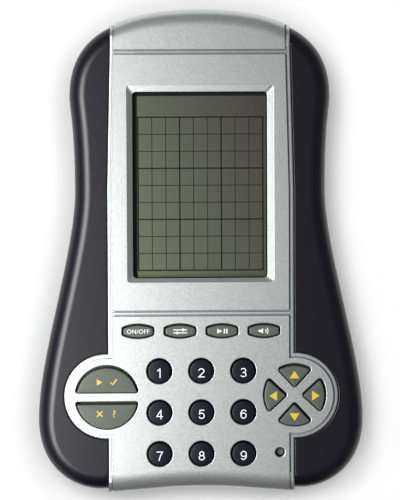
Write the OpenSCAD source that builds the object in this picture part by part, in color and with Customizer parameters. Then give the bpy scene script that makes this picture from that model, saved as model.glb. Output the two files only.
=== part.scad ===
// Handheld electronic number-grid game, lying on its back.
// X runs across the face, +Y towards the display end and Z up through the face.
// The origin is on the back face, under the middle of the body.

/* [Housing] */
// Length over both ends
body_l = 145; // [142:1:180]
// Width over the lower grips
base_w = 99; // [98:1:125]
// Width over the shoulders beside the display
head_w = 79; // [78:1:95]
// Width at the waist
waist_w = 76; // [75:1:92]
// Thickness from the back to the face panel
body_t = 24; // [24:0.5:32]
// Distance of the shoulders from the display end
shoulder_down = 25.4; // [24:0.2:28]
// Distance of the waist from the display end
waist_down = 53.8; // [50:0.2:58]
// Height of the widest place above the lower end
base_up = 21.5; // [20:0.5:26]
// Sideways distance of the two feet of the lower edge from the middle
foot_x = 30.5; // [28:0.5:34]
// Rise of the lower edge between its two feet
dip = 1.3; // [0:0.1:3]
// Wall thickness of the housing mouldings
wall = 2.2; // [1.8:0.1:2.8]
// Radius of the front edge
front_r = 5; // [4:0.5:6]
// Radius of the back edge
back_r = 4; // [3.5:0.5:6]
// Height of the joint line between the two halves
split_z = 11; // [10:0.5:13]
// Height of the tongue that locates the front half on the back half
tongue_h = 1.5; // [1:0.1:2.5]
// Thickness of that tongue
tongue_t = 1.2; // [0.8:0.1:1.6]

/* [Face panel] */
// Width of the panel beside the keys
panel_w = 56.4; // [54:0.2:58]
// Width of the panel at the display end
panel_top_w = 53.8; // [50:0.2:56]
// Thickness of the panel
panel_t = 1.6; // [1.2:0.1:2]
// Height of the panel above the grips
panel_proud = 0.4; // [0:0.1:0.8]
// Gap between the panel and the grips
panel_gap = 0.15; // [0.05:0.05:0.3]
// Radius of the round key fields at both sides
ear_r = 13; // [12.5:0.1:13.6]
// Sideways distance of the round key fields from the middle
ear_x = 28.6; // [27.6:0.2:29.6]
// Height of the round key fields above the lower end
ear_up = 28.7; // [28:0.1:32]
// Width of the plain strip outside the groove lines
strip_w = 1.15; // [0.8:0.05:1.6]
// Width of a groove line
groove_w = 0.45; // [0.25:0.05:0.6]
// Depth of a groove line
groove_d = 0.4; // [0.2:0.05:0.6]
// Distance of the upper dividing strip from the display end
upper_strip = 11.4; // [9:0.1:16]
// Distance of the lower dividing strip from the key end
lower_strip = 54.1; // [53:0.1:56]

/* [Display] */
// Width of the window opening
window_w = 40.3; // [32:0.1:41]
// Length of the window opening
window_l = 56.4; // [46:0.1:57]
// Distance of the window opening from the display end
window_down = 23.9; // [22:0.1:25]
// Width of the sloping bezel at the sides of the window
bezel_side = 2.2; // [1:0.1:3]
// Width of the sloping bezel at the ends of the window
bezel_end = 1.5; // [1:0.1:3]
// Thickness of the clear window
lens_t = 1.5; // [1:0.1:1.6]
// Reach of the clear window and the glass past the opening
lens_lap = 2.4; // [1.8:0.1:3]
// Thickness of each display glass
glass_t = 1.1; // [0.7:0.1:1.2]
// Length of the contact ledge on the front glass
contact_l = 3.2; // [2.6:0.1:4]
// Wall of the frame round the glass
frame_t = 1.6; // [1.2:0.1:2]

/* [Keys] */
// Diameter of a number key hole
key_d = 7.75; // [6:0.05:9.5]
// Distance between number keys across the face
key_pitch = 12.7; // [12.2:0.1:13]
// Distance between rows of number keys
row_pitch = 12.6; // [12.2:0.1:13]
// Height of the middle row of number keys above the lower end
middle_row_up = 23.75; // [23.5:0.05:24.5]
// Width of a function key hole
function_w = 9.8; // [8:0.1:10.2]
// Height of a function key hole in its middle
function_h = 4.45; // [4:0.05:5.4]
// Height of a function key hole at its ends
function_end = 2.3; // [1.8:0.1:3.2]
// Height of the function keys above the lower end
function_up = 48.5; // [48:0.1:49]
// Radius over the pair of half-moon key holes
moon_r = 9.7; // [8.5:0.1:10.2]
// Width of the bar between the half-moon key holes
moon_bar = 2.7; // [2.4:0.1:3.5]
// Radius over the ring of direction key holes
arrow_r = 9.55; // [8.5:0.05:10.2]
// Width of the bars between the direction key holes
arrow_bar = 3.4; // [2.6:0.1:3.8]
// Diameter of the reset hole
reset_d = 2.9; // [2:0.1:3.2]
// Sideways distance of the reset hole from the middle
reset_x = 23.8; // [22.5:0.1:24]
// Height of the reset hole above the lower end
reset_up = 11.4; // [11:0.1:12]
// Gap all round a key in its hole
key_gap = 0.3; // [0.15:0.05:0.4]
// Height of the keys above the panel
key_rise = 1.2; // [1:0.1:3]
// Depth of the reset button below the panel
reset_sink = 0.9; // [0.5:0.1:1.5]
// Travel of a key
travel = 0.8; // [0.5:0.1:0.9]
// Width of the lip that keeps a key in the case
key_lip = 0.9; // [0.6:0.1:1]

/* [Batteries] */
// Diameter of a cell
cell_d = 10.3; // [10:0.1:10.5]
// Length of a cell with its button
cell_l = 44.5; // [43.3:0.1:44.5]
// Distance between the two cells
cell_pitch = 11; // [10.8:0.1:11.5]
// Length of a contact spring in use
spring_l = 4.4; // [4:0.1:5]
// Turns of a contact spring
spring_turns = 3.5; // [2.5:0.5:3.5]
// Distance of the middle of the battery bay from the display end
bay_down = 51.5; // [50:0.5:54]
// Wall of the battery bay
bay_t = 1.2; // [1:0.1:1.6]
// Thickness of the battery door
door_t = 1.4; // [1.2:0.1:1.6]
// Opening angle of the battery door
door_angle = 45; // [30:1:45]

/* [Sounder] */
// Diameter of the brass disc
buzzer_d = 27; // [20:1:27]
// Diameter of the ceramic layer on the disc
ceramic_d = 20; // [14:1:22]
// Diameter of a sound hole
sound_d = 1.8; // [1:0.1:2]

/* [Hidden] */
$fn = 48;

// Ends of the body, and the stations of its outline measured from them
head_y = body_l / 2;
foot_y = -body_l / 2;
shoulder_y = head_y - shoulder_down;
waist_y = head_y - waist_down;
base_y = foot_y + base_up;

// How far each curve of the outline runs on straight from its ends before it bends
head_pull = 22.7;
shoulder_pull = [19.9, 4.5];
waist_pull = [20.2, 18.6];
base_pull = [18.6, 16];
foot_pull = [7.5, 10.7];
dip_pull = 12.2;

// Points for each span of the outline, and steps round a rounded edge
span_steps = [9, 6, 8, 10, 6];
outer_steps = 5;
inner_steps = 2;

// Overlap of the flat plates with the rounded rims
lip = 1.2;
// Small amount by which a cut passes through a face
over = 1;

// Heights, counted down from the face
grip_z = body_t - panel_proud;
floor_top = body_t - panel_t;
floor_t = 1.6;
floor_z = floor_top - floor_t;
floor_lap = 2.5;
key_play = 0.1;
flange_t = 0.8;
flange_top = floor_z - key_play;
key_foot = flange_top - flange_t;
key_top = body_t + key_rise;

// The display stack hangs under the floor and sets the height of the board
polariser_t = 0.2;
film_t = 0.3;
ledge_t = 0.8;
lcd_play = 0.1;
polariser_z = floor_z - lcd_play - polariser_t;
front_glass_z = polariser_z - glass_t;
rear_glass_z = front_glass_z - glass_t;
film_z = rear_glass_z - film_t;
board_top = film_z - ledge_t;
board_t = 1.6;
board_z = board_top - board_t;

// Window, lens and glass
window_top = head_y - window_down;
window_low = window_top - window_l;
lens_gap = 0.15;
lens_z = floor_top - lens_t;
bezel_land = 0.25;
window_corner = 0.8;
lens_corner = 1;
glass_w = window_w + 2 * lens_lap;
glass_top = window_top + lens_lap;
rear_low = window_low - lens_lap;
front_low = rear_low - contact_l;
frame_gap = 0.15;
frame_w = glass_w + 2 * (frame_gap + frame_t);
frame_top = glass_top + frame_gap + frame_t;
frame_low = front_low - frame_gap - frame_t;
zebra_w = 1.8;
zebra_y = rear_low - contact_l / 2;

// Key places
row_y = foot_y + middle_row_up;
function_y = foot_y + function_up;
ear_y = foot_y + ear_up;
reset_place = [reset_x, foot_y + reset_up];
moon_corner = 0.7;
arrow_corner = 0.9;
function_corner = 0.7;
key_edge = 0.7;
key_crown = 0.35;
moon_dome = (moon_r + moon_bar / 2) / 2;
arrow_dome = arrow_r * 0.64;

// Rubber mat
mat_t = 0.8;
mat_play = 0.05;
dome_top = key_foot - mat_play;
dome_foot_r = 3.2;
dome_head_r = 2;
dome_skirt = 0.9;
dome_wall = 0.4;
pill_room = 0.3;
pill_r = 1.4;
pill_t = 0.3;
pill_z = board_top + travel;
reset_dome = 0.6;

// Board outline and its screws
board_margin = 1.2;
board_head_w = frame_w + 2 * board_margin;
board_head_y = frame_top + 8;
board_step_y = function_y + 8;
board_low_w = 66;
board_foot_y = foot_y + 6;
board_ear_w = 2 * (ear_x + moon_r + 2.5);
board_ear_h = 2 * moon_r + 5;
board_boss_r = 2.4;
board_screw_r = 1;
board_head_r = 1.9;
board_head_t = 1.3;
screw_gap = 0.05;
screw_short = 0.5;
mat_margin = 0.6;
mat_top_y = function_y + 5;

// Case screws
case_boss_r = 3;
case_screw_r = 1.3;
case_head_r = 2.4;
case_head_t = 1.7;
case_seat_t = 2.4;
case_screw_l = 10;
case_bore = case_screw_l - case_seat_t + 1.5;
tube_wall = 0.9;
hole_gap = 0.3;

// Battery bay and door
bay_y = head_y - bay_down;
cell_gap = 0.35;
cell_lift = 0.95;
cell_z = door_t + cell_lift + cell_d / 2;
cell_r = cell_d / 2;
plate_t = 0.4;
plate_w = 8.6;
seat_gap = 0.05;
bay_half_x = (cell_l + spring_l) / 2 + plate_t + 2 * seat_gap;
bay_half_y = cell_pitch / 2 + cell_r + cell_gap;
bay_top = cell_z + cell_r + cell_gap;
door_lap = 1.6;
door_gap = 0.3;
// Line about which the door tilts: the upper edge of the ledge under its tongues
hook_z = 1.3;
hook_y = bay_y + bay_half_y;
tongue_x = 14;
tongue_w = 6;
tongue_reach = 2.5;
hook_t = 0.9;
hook_gap = 0.1;
bevel = hook_z * tan(door_angle / 2) + 2 * hook_gap;
finger_w = 9;
finger_slit = 0.8;
finger_l = 6;
hook_room = 3.5;
scoop_r = 12;
scoop_d = 1.1;
// Solder tags of the two contacts, by how far they stand out of the bay
tag_out = [6.3, 4.5];
tag_w = 2.4;
tag_z = cell_z + 0.5;
spring_r = 2.6;
spring_wire = 0.6;
button_r = 1.9;
button_l = 1;

// Sounder
buzzer_y = foot_y + 24.5;
buzzer_t = 0.25;
buzzer_seat = 1;
buzzer_rib = 1.2;
buzzer_rib_h = 0.8;
buzzer_z = wall + buzzer_seat;
sound_circle = 5;

// Leads
lead_d = 1.2;
lead_sides = 8;
lead_rings = 11;
battery_pads = [[-24, function_y + 4], [-18, function_y + 14]];
buzzer_pads = [[9, buzzer_y + 9], [4, buzzer_y + 9]];
lead_rise = 5;

// Screw places: each pair is set in from a width and from an end, or from a neighbour on the board
head_screw = [9, 16.5];
waist_screw = [4.5, 66.5];
foot_screw = [12.5, 10.5];
case_screw_places = [
    for (side = [-1, 1]) each [
        [side * (head_w / 2 - head_screw[0]), head_y - head_screw[1]],
        [side * (waist_w / 2 - waist_screw[0]), foot_y + waist_screw[1]],
        [side * (base_w / 2 - foot_screw[0]), foot_y + foot_screw[1]]
    ]
];
board_edge = 4;
board_screw_places = [
    for (side = [-1, 1]) each [
        [side * (board_head_w / 2 - 2 * board_edge), board_head_y - board_edge],
        [side * (board_low_w / 2 - board_edge), function_y + board_edge],
        [side * (board_low_w / 2 - board_edge), board_foot_y + board_edge]
    ]
];
arrow_turns = [0, 180, 90, 270];
dome_places = concat(
    [for (n = [1 : 9]) number_place(n)],
    [for (i = [0 : 3]) function_place(i)],
    [for (s = [1, -1]) [-ear_x, ear_y + s * moon_dome]],
    [for (a = arrow_turns) [ear_x - arrow_dome * sin(a), ear_y + arrow_dome * cos(a)]]
);

function number_place(n) =
    [((n - 1) % 3 - 1) * key_pitch, row_y + (1 - floor((n - 1) / 3)) * row_pitch];

function function_place(i) = [(i - 1.5) * key_pitch, function_y];

function cubic(a, b, c, d, t) =
    let (s = 1 - t) s * s * s * a + 3 * s * s * t * b + 3 * s * t * t * c + t * t * t * d;

function cubic_slope(a, b, c, d, t) =
    let (s = 1 - t) s * s * (b - a) + 2 * s * t * (c - b) + t * t * (d - c);

// Right half of the outline as five curves from the display end round to the key end
head_point = [0, head_y];
shoulder_point = [head_w / 2, shoulder_y];
waist_point = [waist_w / 2, waist_y];
base_point = [base_w / 2, base_y];
foot_point = [foot_x, foot_y];
dip_point = [0, foot_y + dip];
outline_spans = [
    [head_point, head_point + [head_pull, 0], shoulder_point + [0, shoulder_pull[0]], shoulder_point],
    [shoulder_point, shoulder_point - [0, shoulder_pull[1]], waist_point + [0, waist_pull[0]], waist_point],
    [waist_point, waist_point - [0, waist_pull[1]], base_point + [0, base_pull[0]], base_point],
    [base_point, base_point - [0, base_pull[1]], foot_point + [foot_pull[0], 0], foot_point],
    [foot_point, foot_point - [foot_pull[1], 0], dip_point + [dip_pull, 0], dip_point]
];

// A point of the outline with its inward normal, as [x, y, nx, ny]
function outline_point(s, t) =
    let (p = cubic(s[0], s[1], s[2], s[3], t), v = cubic_slope(s[0], s[1], s[2], s[3], t))
    [p[0], p[1], v[1] / norm(v), -v[0] / norm(v)];

right_half = [
    for (k = [0 : 4]) for (i = [0 : span_steps[k] - 1]) outline_point(outline_spans[k], i / span_steps[k]),
    outline_point(outline_spans[4], 1)
];
outline = concat(
    right_half,
    [for (i = [len(right_half) - 2 : -1 : 1]) let (p = right_half[i]) [-p[0], p[1], -p[2], p[3]]]
);

// The outline drawn in by an even distance
function rim(inset) = [for (p = outline) [p[0] + inset * p[2], p[1] + inset * p[3]]];

// Quarter round of the front edge at a depth below the outer face, as [inset, height]
function front_round(top, depth, steps, a0, a1) = [
    for (i = [0 : steps])
        let (a = a0 + (a1 - a0) * i / steps, r = front_r - depth)
        [front_r - r * cos(a), top - front_r + r * sin(a)]
];

// Cross-section of a front moulding from the joint line over the rounded edge and back
function front_profile(top, t) = concat(
    [[0, split_z]],
    front_round(top, 0, outer_steps, 0, 90),
    [[front_r + lip, top], [front_r + lip, top - t]],
    front_round(top, t, inner_steps, 90, 0),
    [[t, split_z]]
);

// Cross-section of the rim of the body drawn in by a depth, filled down to below the joint line
function core_profile(top, depth) = concat(
    [[depth, split_z - over]],
    front_round(top, depth, outer_steps, 0, 90),
    [[front_r + lip, top - depth], [front_r + lip, split_z - over]]
);

// Cross-section of the back moulding, with the tongue that locates the front half
tongue_out = wall + panel_gap;
tongue_in = tongue_out + tongue_t;
back_profile = concat(
    [[tongue_out, split_z], [tongue_out, split_z + tongue_h], [tongue_in, split_z + tongue_h],
        [tongue_in, split_z - tongue_t], [wall, split_z - 2 * tongue_t]],
    [for (i = [0 : inner_steps]) let (a = 90 * i / inner_steps)
        [back_r - (back_r - wall) * cos(a), back_r - (back_r - wall) * sin(a)]],
    [[back_r + lip, wall], [back_r + lip, 0]],
    [for (i = [0 : outer_steps]) let (a = 90 * (1 - i / outer_steps))
        [back_r * (1 - cos(a)), back_r * (1 - sin(a))]],
    [[0, split_z]]
);

// Moulded rim: a cross-section carried round the outline
module rim_loft(profile) {
    n = len(outline);
    m = len(profile);
    points = [for (s = profile) for (p = rim(s[0])) [p[0], p[1], s[1]]];
    faces = [
        for (j = [0 : m - 1]) for (i = [0 : n - 1])
            let (k = (i + 1) % n, next = ((j + 1) % m) * n)
            each [[j * n + i, j * n + k, next + k], [j * n + i, next + k, next + i]]
    ];
    polyhedron(points, faces, convexity = 6);
}

// Front moulding with a rounded edge, before anything is cut from it
module front_shell(top, t) {
    rim_loft(front_profile(top, t));
    translate([0, 0, top - t])
        linear_extrude(t)
            polygon(rim(front_r + lip / 2));
}

// What lies deeper than a depth below the outer face of the front
module front_core(top, depth) {
    rim_loft(core_profile(top, depth));
    translate([0, 0, split_z - over])
        linear_extrude(top - depth - split_z + over)
            polygon(rim(front_r + lip / 2));
}

// Round tube along a path of points
module tube(path, d, sides) {
    last = len(path) - 1;
    points = [
        for (i = [0 : last])
            let (
                ahead = path[min(i + 1, last)] - path[max(i - 1, 0)],
                across = cross(ahead, [0.31, 0.17, 0.05]),
                u = across / norm(across),
                w = cross(ahead, u) / norm(ahead)
            )
            for (k = [0 : sides - 1]) path[i] + d / 2 * (cos(360 * k / sides) * u + sin(360 * k / sides) * w)
    ];
    walls = [
        for (i = [0 : last - 1]) for (k = [0 : sides - 1])
            let (a = i * sides + k, b = i * sides + (k + 1) % sides)
            each [[a, b + sides, b], [a, a + sides, b + sides]]
    ];
    ends = [
        for (k = [1 : sides - 2]) each [[0, k, k + 1], [last * sides, last * sides + k + 1, last * sides + k]]
    ];
    polyhedron(points, concat(walls, ends), convexity = 4);
}

// Plan of the silver panel: two tapering sides and the two round key fields
module panel_plan(grow) {
    low = panel_w / 2 + grow;
    top = panel_top_w / 2 + grow;
    polygon([
        [-low, foot_y - over], [low, foot_y - over], [low, waist_y], [top, head_y],
        [top, head_y + over], [-top, head_y + over], [-top, head_y], [-low, waist_y]
    ]);
    for (side = [-1, 1])
        translate([side * ear_x, ear_y])
            circle(ear_r + grow, $fn = 96);
}

// Stretch of the panel between two heights on the face, drawn in from its edges
module panel_field(inset, low, high) {
    intersection() {
        panel_plan(-inset);
        translate([-base_w, low])
            square([2 * base_w, high - low]);
    }
}

// Plan of the groove line that runs round a field of the panel
module field_groove(low, high) {
    difference() {
        panel_field(strip_w, low, high);
        panel_field(strip_w + groove_w, low + groove_w, high - groove_w);
    }
}

// Every groove line of the panel, at one depth below the face and below both rounded ends
module panel_grooves() {
    difference() {
        translate([0, 0, split_z - over])
            linear_extrude(body_t) {
                field_groove(foot_y - over, foot_y + lower_strip - strip_w / 2);
                field_groove(foot_y + lower_strip + strip_w / 2, head_y - upper_strip - strip_w / 2);
                field_groove(head_y - upper_strip + strip_w / 2, head_y + over);
            }
        front_core(body_t, groove_d);
    }
}

module rounded(corner) {
    offset(r = corner, $fn = 24)
        offset(r = -corner)
            children();
}

// Outline of a function key hole: straight ends and bowed long sides
module function_plan() {
    bow = (function_h - function_end) / 2;
    radius = (function_w * function_w / 4 + bow * bow) / (2 * bow);
    rounded(function_corner)
        intersection() {
            square([function_w, 2 * function_h], center = true);
            translate([0, function_h / 2 - radius])
                circle(radius, $fn = 72);
            translate([0, radius - function_h / 2])
                circle(radius, $fn = 72);
        }
}

// Outline of a half-moon key hole, above or below the bar
module moon_plan(side) {
    rounded(moon_corner)
        intersection() {
            circle(moon_r, $fn = 56);
            translate([-moon_r, side > 0 ? moon_bar / 2 : -moon_r])
                square([2 * moon_r, moon_r - moon_bar / 2]);
        }
}

// Outline of a direction key hole, which points away from the middle of its ring
module arrow_plan(turn) {
    rotate(turn)
        rounded(arrow_corner)
            intersection() {
                circle(arrow_r, $fn = 56);
                translate([0, arrow_bar / sqrt(2)])
                    polygon([[0, 0], [arrow_r, arrow_r], [-arrow_r, arrow_r]]);
            }
}

// Every key hole, cut through whatever lies between two heights
module key_holes(low, high) {
    for (n = [1 : 9])
        translate(concat(number_place(n), low))
            cylinder(h = high - low, d = key_d);
    translate(concat(reset_place, low))
        cylinder(h = high - low, d = reset_d);
    translate([0, 0, low])
        linear_extrude(high - low) {
            for (i = [0 : 3])
                translate(function_place(i))
                    function_plan();
            for (side = [-1, 1])
                translate([-ear_x, ear_y])
                    moon_plan(side);
            for (turn = arrow_turns)
                translate([ear_x, ear_y])
                    arrow_plan(turn);
        }
}

// Silver panel with its ends rolled down to the joint line
module face_panel() {
    color("#c9cdcd")
        difference() {
            intersection() {
                front_shell(body_t, panel_t);
                translate([0, 0, split_z - over])
                    linear_extrude(body_t)
                        panel_plan(0);
            }
            window_cut();
            key_holes(floor_top - over, body_t + over);
            panel_grooves();
        }
}

// Window opening with a sloping bezel above a narrow upright land
module window_cut() {
    slope_h = panel_t - bezel_land;
    outer = [window_w + 2 * bezel_side, window_l + 2 * bezel_end];
    translate([0, (window_top + window_low) / 2, floor_top - over])
        linear_extrude(panel_t + over)
            rounded(window_corner)
                square([window_w, window_l], center = true);
    translate([0, (window_top + window_low) / 2, floor_top + bezel_land])
        linear_extrude(slope_h, scale = [outer[0] / window_w, outer[1] / window_l], slices = 1)
            square([window_w, window_l], center = true);
}

// Black front half: two grips joined by a floor under the silver panel
module front_case() {
    color("#2c2c32")
        difference() {
            union() {
                difference() {
                    front_shell(grip_z, wall);
                    translate([0, 0, split_z - over])
                        linear_extrude(body_t)
                            panel_plan(panel_gap);
                }
                translate([0, 0, floor_z])
                    linear_extrude(floor_t)
                        intersection() {
                            panel_plan(floor_lap);
                            polygon(rim(front_r + panel_gap));
                        }
                for (p = case_screw_places)
                    translate(concat(p, split_z))
                        cylinder(h = floor_z + floor_t / 2 - split_z, r = case_boss_r);
                for (p = board_screw_places)
                    translate(concat(p, board_top))
                        cylinder(h = floor_z + floor_t / 2 - board_top, r = board_boss_r);
            }
            key_holes(floor_z - over, body_t);
            translate([0, (window_top + window_low) / 2, floor_z - over])
                linear_extrude(floor_t + 2 * over)
                    square([window_w, window_l] + 2 * (lens_lap + lens_gap) * [1, 1], center = true);
            for (p = case_screw_places)
                translate(concat(p, split_z - over))
                    cylinder(h = case_bore + over, r = case_screw_r + screw_gap);
            for (p = board_screw_places)
                translate(concat(p, board_top - over))
                    cylinder(h = floor_z - board_top + over, r = board_screw_r + screw_gap);
        }
}

// Black back half with the battery bay, the screw tubes and the seat of the sounder
module back_cover() {
    tube_r = case_head_r + hole_gap + tube_wall;
    ring_r = (buzzer_d + hole_gap) / 2 + buzzer_rib;
    color("#26262b")
        difference() {
            union() {
                rim_loft(back_profile);
                linear_extrude(wall)
                    polygon(rim(back_r + lip / 2));
                for (p = case_screw_places)
                    translate(p)
                        cylinder(h = split_z, r = tube_r);
                bay_block(bay_t, bay_top + bay_t);
                translate([0, buzzer_y, 0])
                    cylinder(h = buzzer_z + buzzer_t + buzzer_rib_h, r = ring_r);
            }
            for (p = case_screw_places) {
                translate(concat(p, -over))
                    cylinder(h = split_z - case_seat_t + over, r = case_head_r + hole_gap);
                translate(concat(p, -over))
                    cylinder(h = split_z + 2 * over, r = case_screw_r + hole_gap);
                translate(concat(p, split_z))
                    cylinder(h = tongue_h + over, r = tube_r + hole_gap);
            }
            translate([0, 0, -over])
                bay_block(0, bay_top + over);
            door_recess();
            for (side = [-1, 1])
                translate([side * tongue_x - tongue_w / 2 - door_gap, hook_y - over, hook_z])
                    cube([tongue_w + 2 * door_gap, tongue_reach + hook_gap + 2 * over, hook_room]);
            for (i = [0, 1])
                translate([-bay_half_x - bay_t - over, contact_y(i) - tag_w / 2 - door_gap, tag_z - door_gap])
                    cube([bay_t + 2 * over, tag_w + 2 * door_gap, plate_t + 2 * door_gap]);
            translate([0, buzzer_y, buzzer_z])
                cylinder(h = body_t, d = buzzer_d + hole_gap);
            translate([0, buzzer_y, wall])
                cylinder(h = body_t, d = ceramic_d + 2);
            for (i = [0 : 6])
                translate([0, buzzer_y, -over])
                    rotate(60 * i)
                        translate([i == 6 ? 0 : sound_circle, 0])
                            cylinder(h = wall + 2 * over, d = sound_d);
        }
}

// Block over the battery bay, grown by a wall, from the back up to a height
module bay_block(grow, high) {
    translate([-bay_half_x - grow, bay_y - bay_half_y - grow, 0])
        cube([2 * (bay_half_x + grow), 2 * (bay_half_y + grow), high]);
}

// Recess for the battery door, with a shallow scoop for a fingertip at its latch
module door_recess() {
    low = bay_y - bay_half_y - door_lap;
    translate([-bay_half_x - door_lap, low, -over])
        cube([2 * (bay_half_x + door_lap), hook_y - low, door_t + hook_gap + over]);
    translate([0, low, -scoop_r])
        sphere(r = scoop_r + scoop_d);
}

// Battery door with two hook tongues at one long edge and a spring latch at the other
module battery_door() {
    low = bay_y - bay_half_y - door_lap + door_gap;
    half = bay_half_x + door_lap - door_gap;
    color("#26262b")
        difference() {
            union() {
                rotate([90, 0, 90])
                    translate([0, 0, -half])
                        linear_extrude(2 * half)
                            polygon([
                                [low, 0], [hook_y - bevel, 0],
                                [hook_y - bevel - door_t, door_t], [low, door_t]
                            ]);
                for (side = [-1, 1])
                    rotate([90, 0, 90])
                        translate([0, 0, side * tongue_x - tongue_w / 2])
                            linear_extrude(tongue_w)
                                polygon([
                                    [hook_y - bevel - 2 * door_t, door_t / 2],
                                    [hook_y - bevel - 1.4 * door_t, door_t / 2],
                                    [hook_y - bevel - door_t, hook_z + hook_gap],
                                    [hook_y + tongue_reach, hook_z + hook_gap],
                                    [hook_y + tongue_reach, hook_z + hook_gap + hook_t],
                                    [hook_y - bevel - 2 * door_t, hook_z + hook_gap + hook_t]
                                ]);
            }
            for (side = [-1, 1])
                translate([side * finger_w / 2 - finger_slit / 2, low - over, -over])
                    cube([finger_slit, finger_l + over, door_t + 2 * over]);
        }
}

// Clear window, glued under the panel
module window_lens() {
    color("#c8d4d4", 0.35)
        translate([0, (window_top + window_low) / 2, lens_z])
            linear_extrude(lens_t)
                rounded(lens_corner)
                    square([window_w, window_l] + 2 * lens_lap * [1, 1], center = true);
}

// One layer of the display between two heights on the face
module display_layer(low, z, t) {
    translate([-glass_w / 2, low, z])
        cube([glass_w, glass_top - low, t]);
}

module lcd_polariser() {
    color("#7b8070")
        display_layer(rear_low, polariser_z, polariser_t);
}

module lcd_front_glass() {
    color("#aab5a8", 0.5)
        display_layer(front_low, front_glass_z, glass_t);
}

module lcd_rear_glass() {
    color("#aab5a8", 0.5)
        display_layer(rear_low, rear_glass_z, glass_t);
}

module lcd_reflector() {
    color("#8f9384")
        display_layer(rear_low, film_z, film_t);
}

// Frame that seats the glass on the board, with a slot for the rubber connector
module lcd_frame() {
    ledge = 2;
    color("#e4e4e0")
        difference() {
            translate([-frame_w / 2, frame_low, board_top])
                cube([frame_w, frame_top - frame_low, floor_z - lcd_play - board_top]);
            translate([-glass_w / 2 - frame_gap, front_low - frame_gap, film_z])
                cube([glass_w + 2 * frame_gap, glass_top - front_low + 2 * frame_gap, body_t]);
            translate([-glass_w / 2 + ledge, rear_low + ledge, board_top - over])
                cube([glass_w - 2 * ledge, glass_top - rear_low - 2 * ledge, body_t]);
            translate([-glass_w / 2, zebra_y - zebra_w / 2 - frame_gap, board_top - over])
                cube([glass_w, zebra_w + 2 * frame_gap, body_t]);
        }
}

// Conductive rubber strip between the board and the ledge of the front glass
module zebra_strip() {
    color("#d9a7a0")
        translate([-glass_w / 2 + 1, zebra_y - zebra_w / 2, board_top])
            cube([glass_w - 2, zebra_w, front_glass_z - board_top]);
}

module board_plan(margin) {
    head = board_head_w / 2 - margin;
    translate([-head, board_step_y - over])
        square([2 * head, board_head_y - margin - board_step_y + over]);
    keypad_plan(margin, board_step_y);
}

// The part of the board, and of the mat on it, that lies under the keys
module keypad_plan(margin, top) {
    low = board_low_w / 2 - margin;
    ear = board_ear_w / 2 - margin;
    translate([-low, board_foot_y + margin])
        square([2 * low, top - board_foot_y - margin]);
    translate([-ear, ear_y - board_ear_h / 2 + margin])
        square([2 * ear, board_ear_h - 2 * margin]);
}

module main_board() {
    color("#2f6b3c")
        difference() {
            translate([0, 0, board_z])
                linear_extrude(board_t)
                    board_plan(0);
            for (p = board_screw_places)
                translate(concat(p, board_z - over))
                    cylinder(h = board_t + 2 * over, r = board_screw_r + hole_gap / 2);
        }
}

// Drop of resin over the bare chip, under the board
module chip_blob() {
    blob_r = 6;
    blob_h = 1.3;
    ball = (blob_r * blob_r + blob_h * blob_h) / (2 * blob_h);
    edge_angle = asin(blob_r / ball);
    color("#161616")
        translate([0, function_y, board_z])
            rotate_extrude()
                polygon(concat(
                    [[0, 0]],
                    [for (i = [6 : -1 : 0]) let (a = edge_angle * i / 6)
                        [ball * sin(a), ball * (1 - cos(a)) - blob_h]]
                ));
}

// Crystal, capacitor and a row of resistors under the board
module board_parts() {
    crystal_r = 1;
    crystal_l = 6;
    capacitor_r = 2.5;
    capacitor_l = 8;
    resistor = [1.25, 2, 0.6];
    row_x = 12;
    row_step = 3;
    color("#b9bcc0") {
        translate([row_x, function_y, board_z - crystal_r - seat_gap])
            rotate([90, 0, 0])
                cylinder(h = crystal_l, r = crystal_r);
        translate([row_x + 2 * capacitor_r, function_y, board_z - capacitor_r - seat_gap])
            rotate([90, 0, 0])
                cylinder(h = capacitor_l, r = capacitor_r);
        for (i = [0 : 3])
            translate([-row_x - row_step * i, function_y - row_step, board_z - resistor[2]])
                cube(resistor);
    }
}

// Silicone sheet with a dome under each key
module rubber_mat() {
    room = pill_z + pill_t - board_top + over;
    color("#d8d8d2")
        difference() {
            union() {
                translate([0, 0, board_top])
                    linear_extrude(mat_t)
                        keypad_plan(mat_margin, mat_top_y);
                for (p = dome_places)
                    translate(concat(p, board_top))
                        dome(dome_foot_r, dome_head_r, dome_top - board_top);
                translate(concat(reset_place, board_top))
                    dome(dome_foot_r * reset_dome, dome_head_r * reset_dome, dome_top - board_top);
            }
            for (p = dome_places)
                translate(concat(p, board_top - over))
                    cylinder(h = room, r1 = dome_foot_r - dome_wall, r2 = pill_r + pill_room);
            translate(concat(reset_place, board_top - over))
                cylinder(h = room, r = pill_r * reset_dome + pill_room / 2);
            for (p = board_screw_places)
                translate(concat(p, board_top - over))
                    cylinder(h = mat_t + 2 * over, r = board_boss_r + hole_gap);
        }
}

// Solid form of one dome: a skirt that carries a straight head
module dome(foot_r, head_r, h) {
    skirt = mat_t + dome_skirt;
    cylinder(h = mat_t, r = foot_r);
    translate([0, 0, mat_t])
        cylinder(h = skirt - mat_t, r1 = foot_r, r2 = head_r);
    translate([0, 0, skirt])
        cylinder(h = h - skirt, r = head_r);
}

// Carbon pills on the ceilings of the domes
module contact_pills() {
    color("#1c1c1e") {
        for (p = dome_places)
            translate(concat(p, pill_z))
                cylinder(h = pill_t, r = pill_r);
        translate(concat(reset_place, pill_z))
            cylinder(h = pill_t, r = pill_r * reset_dome);
    }
}

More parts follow.
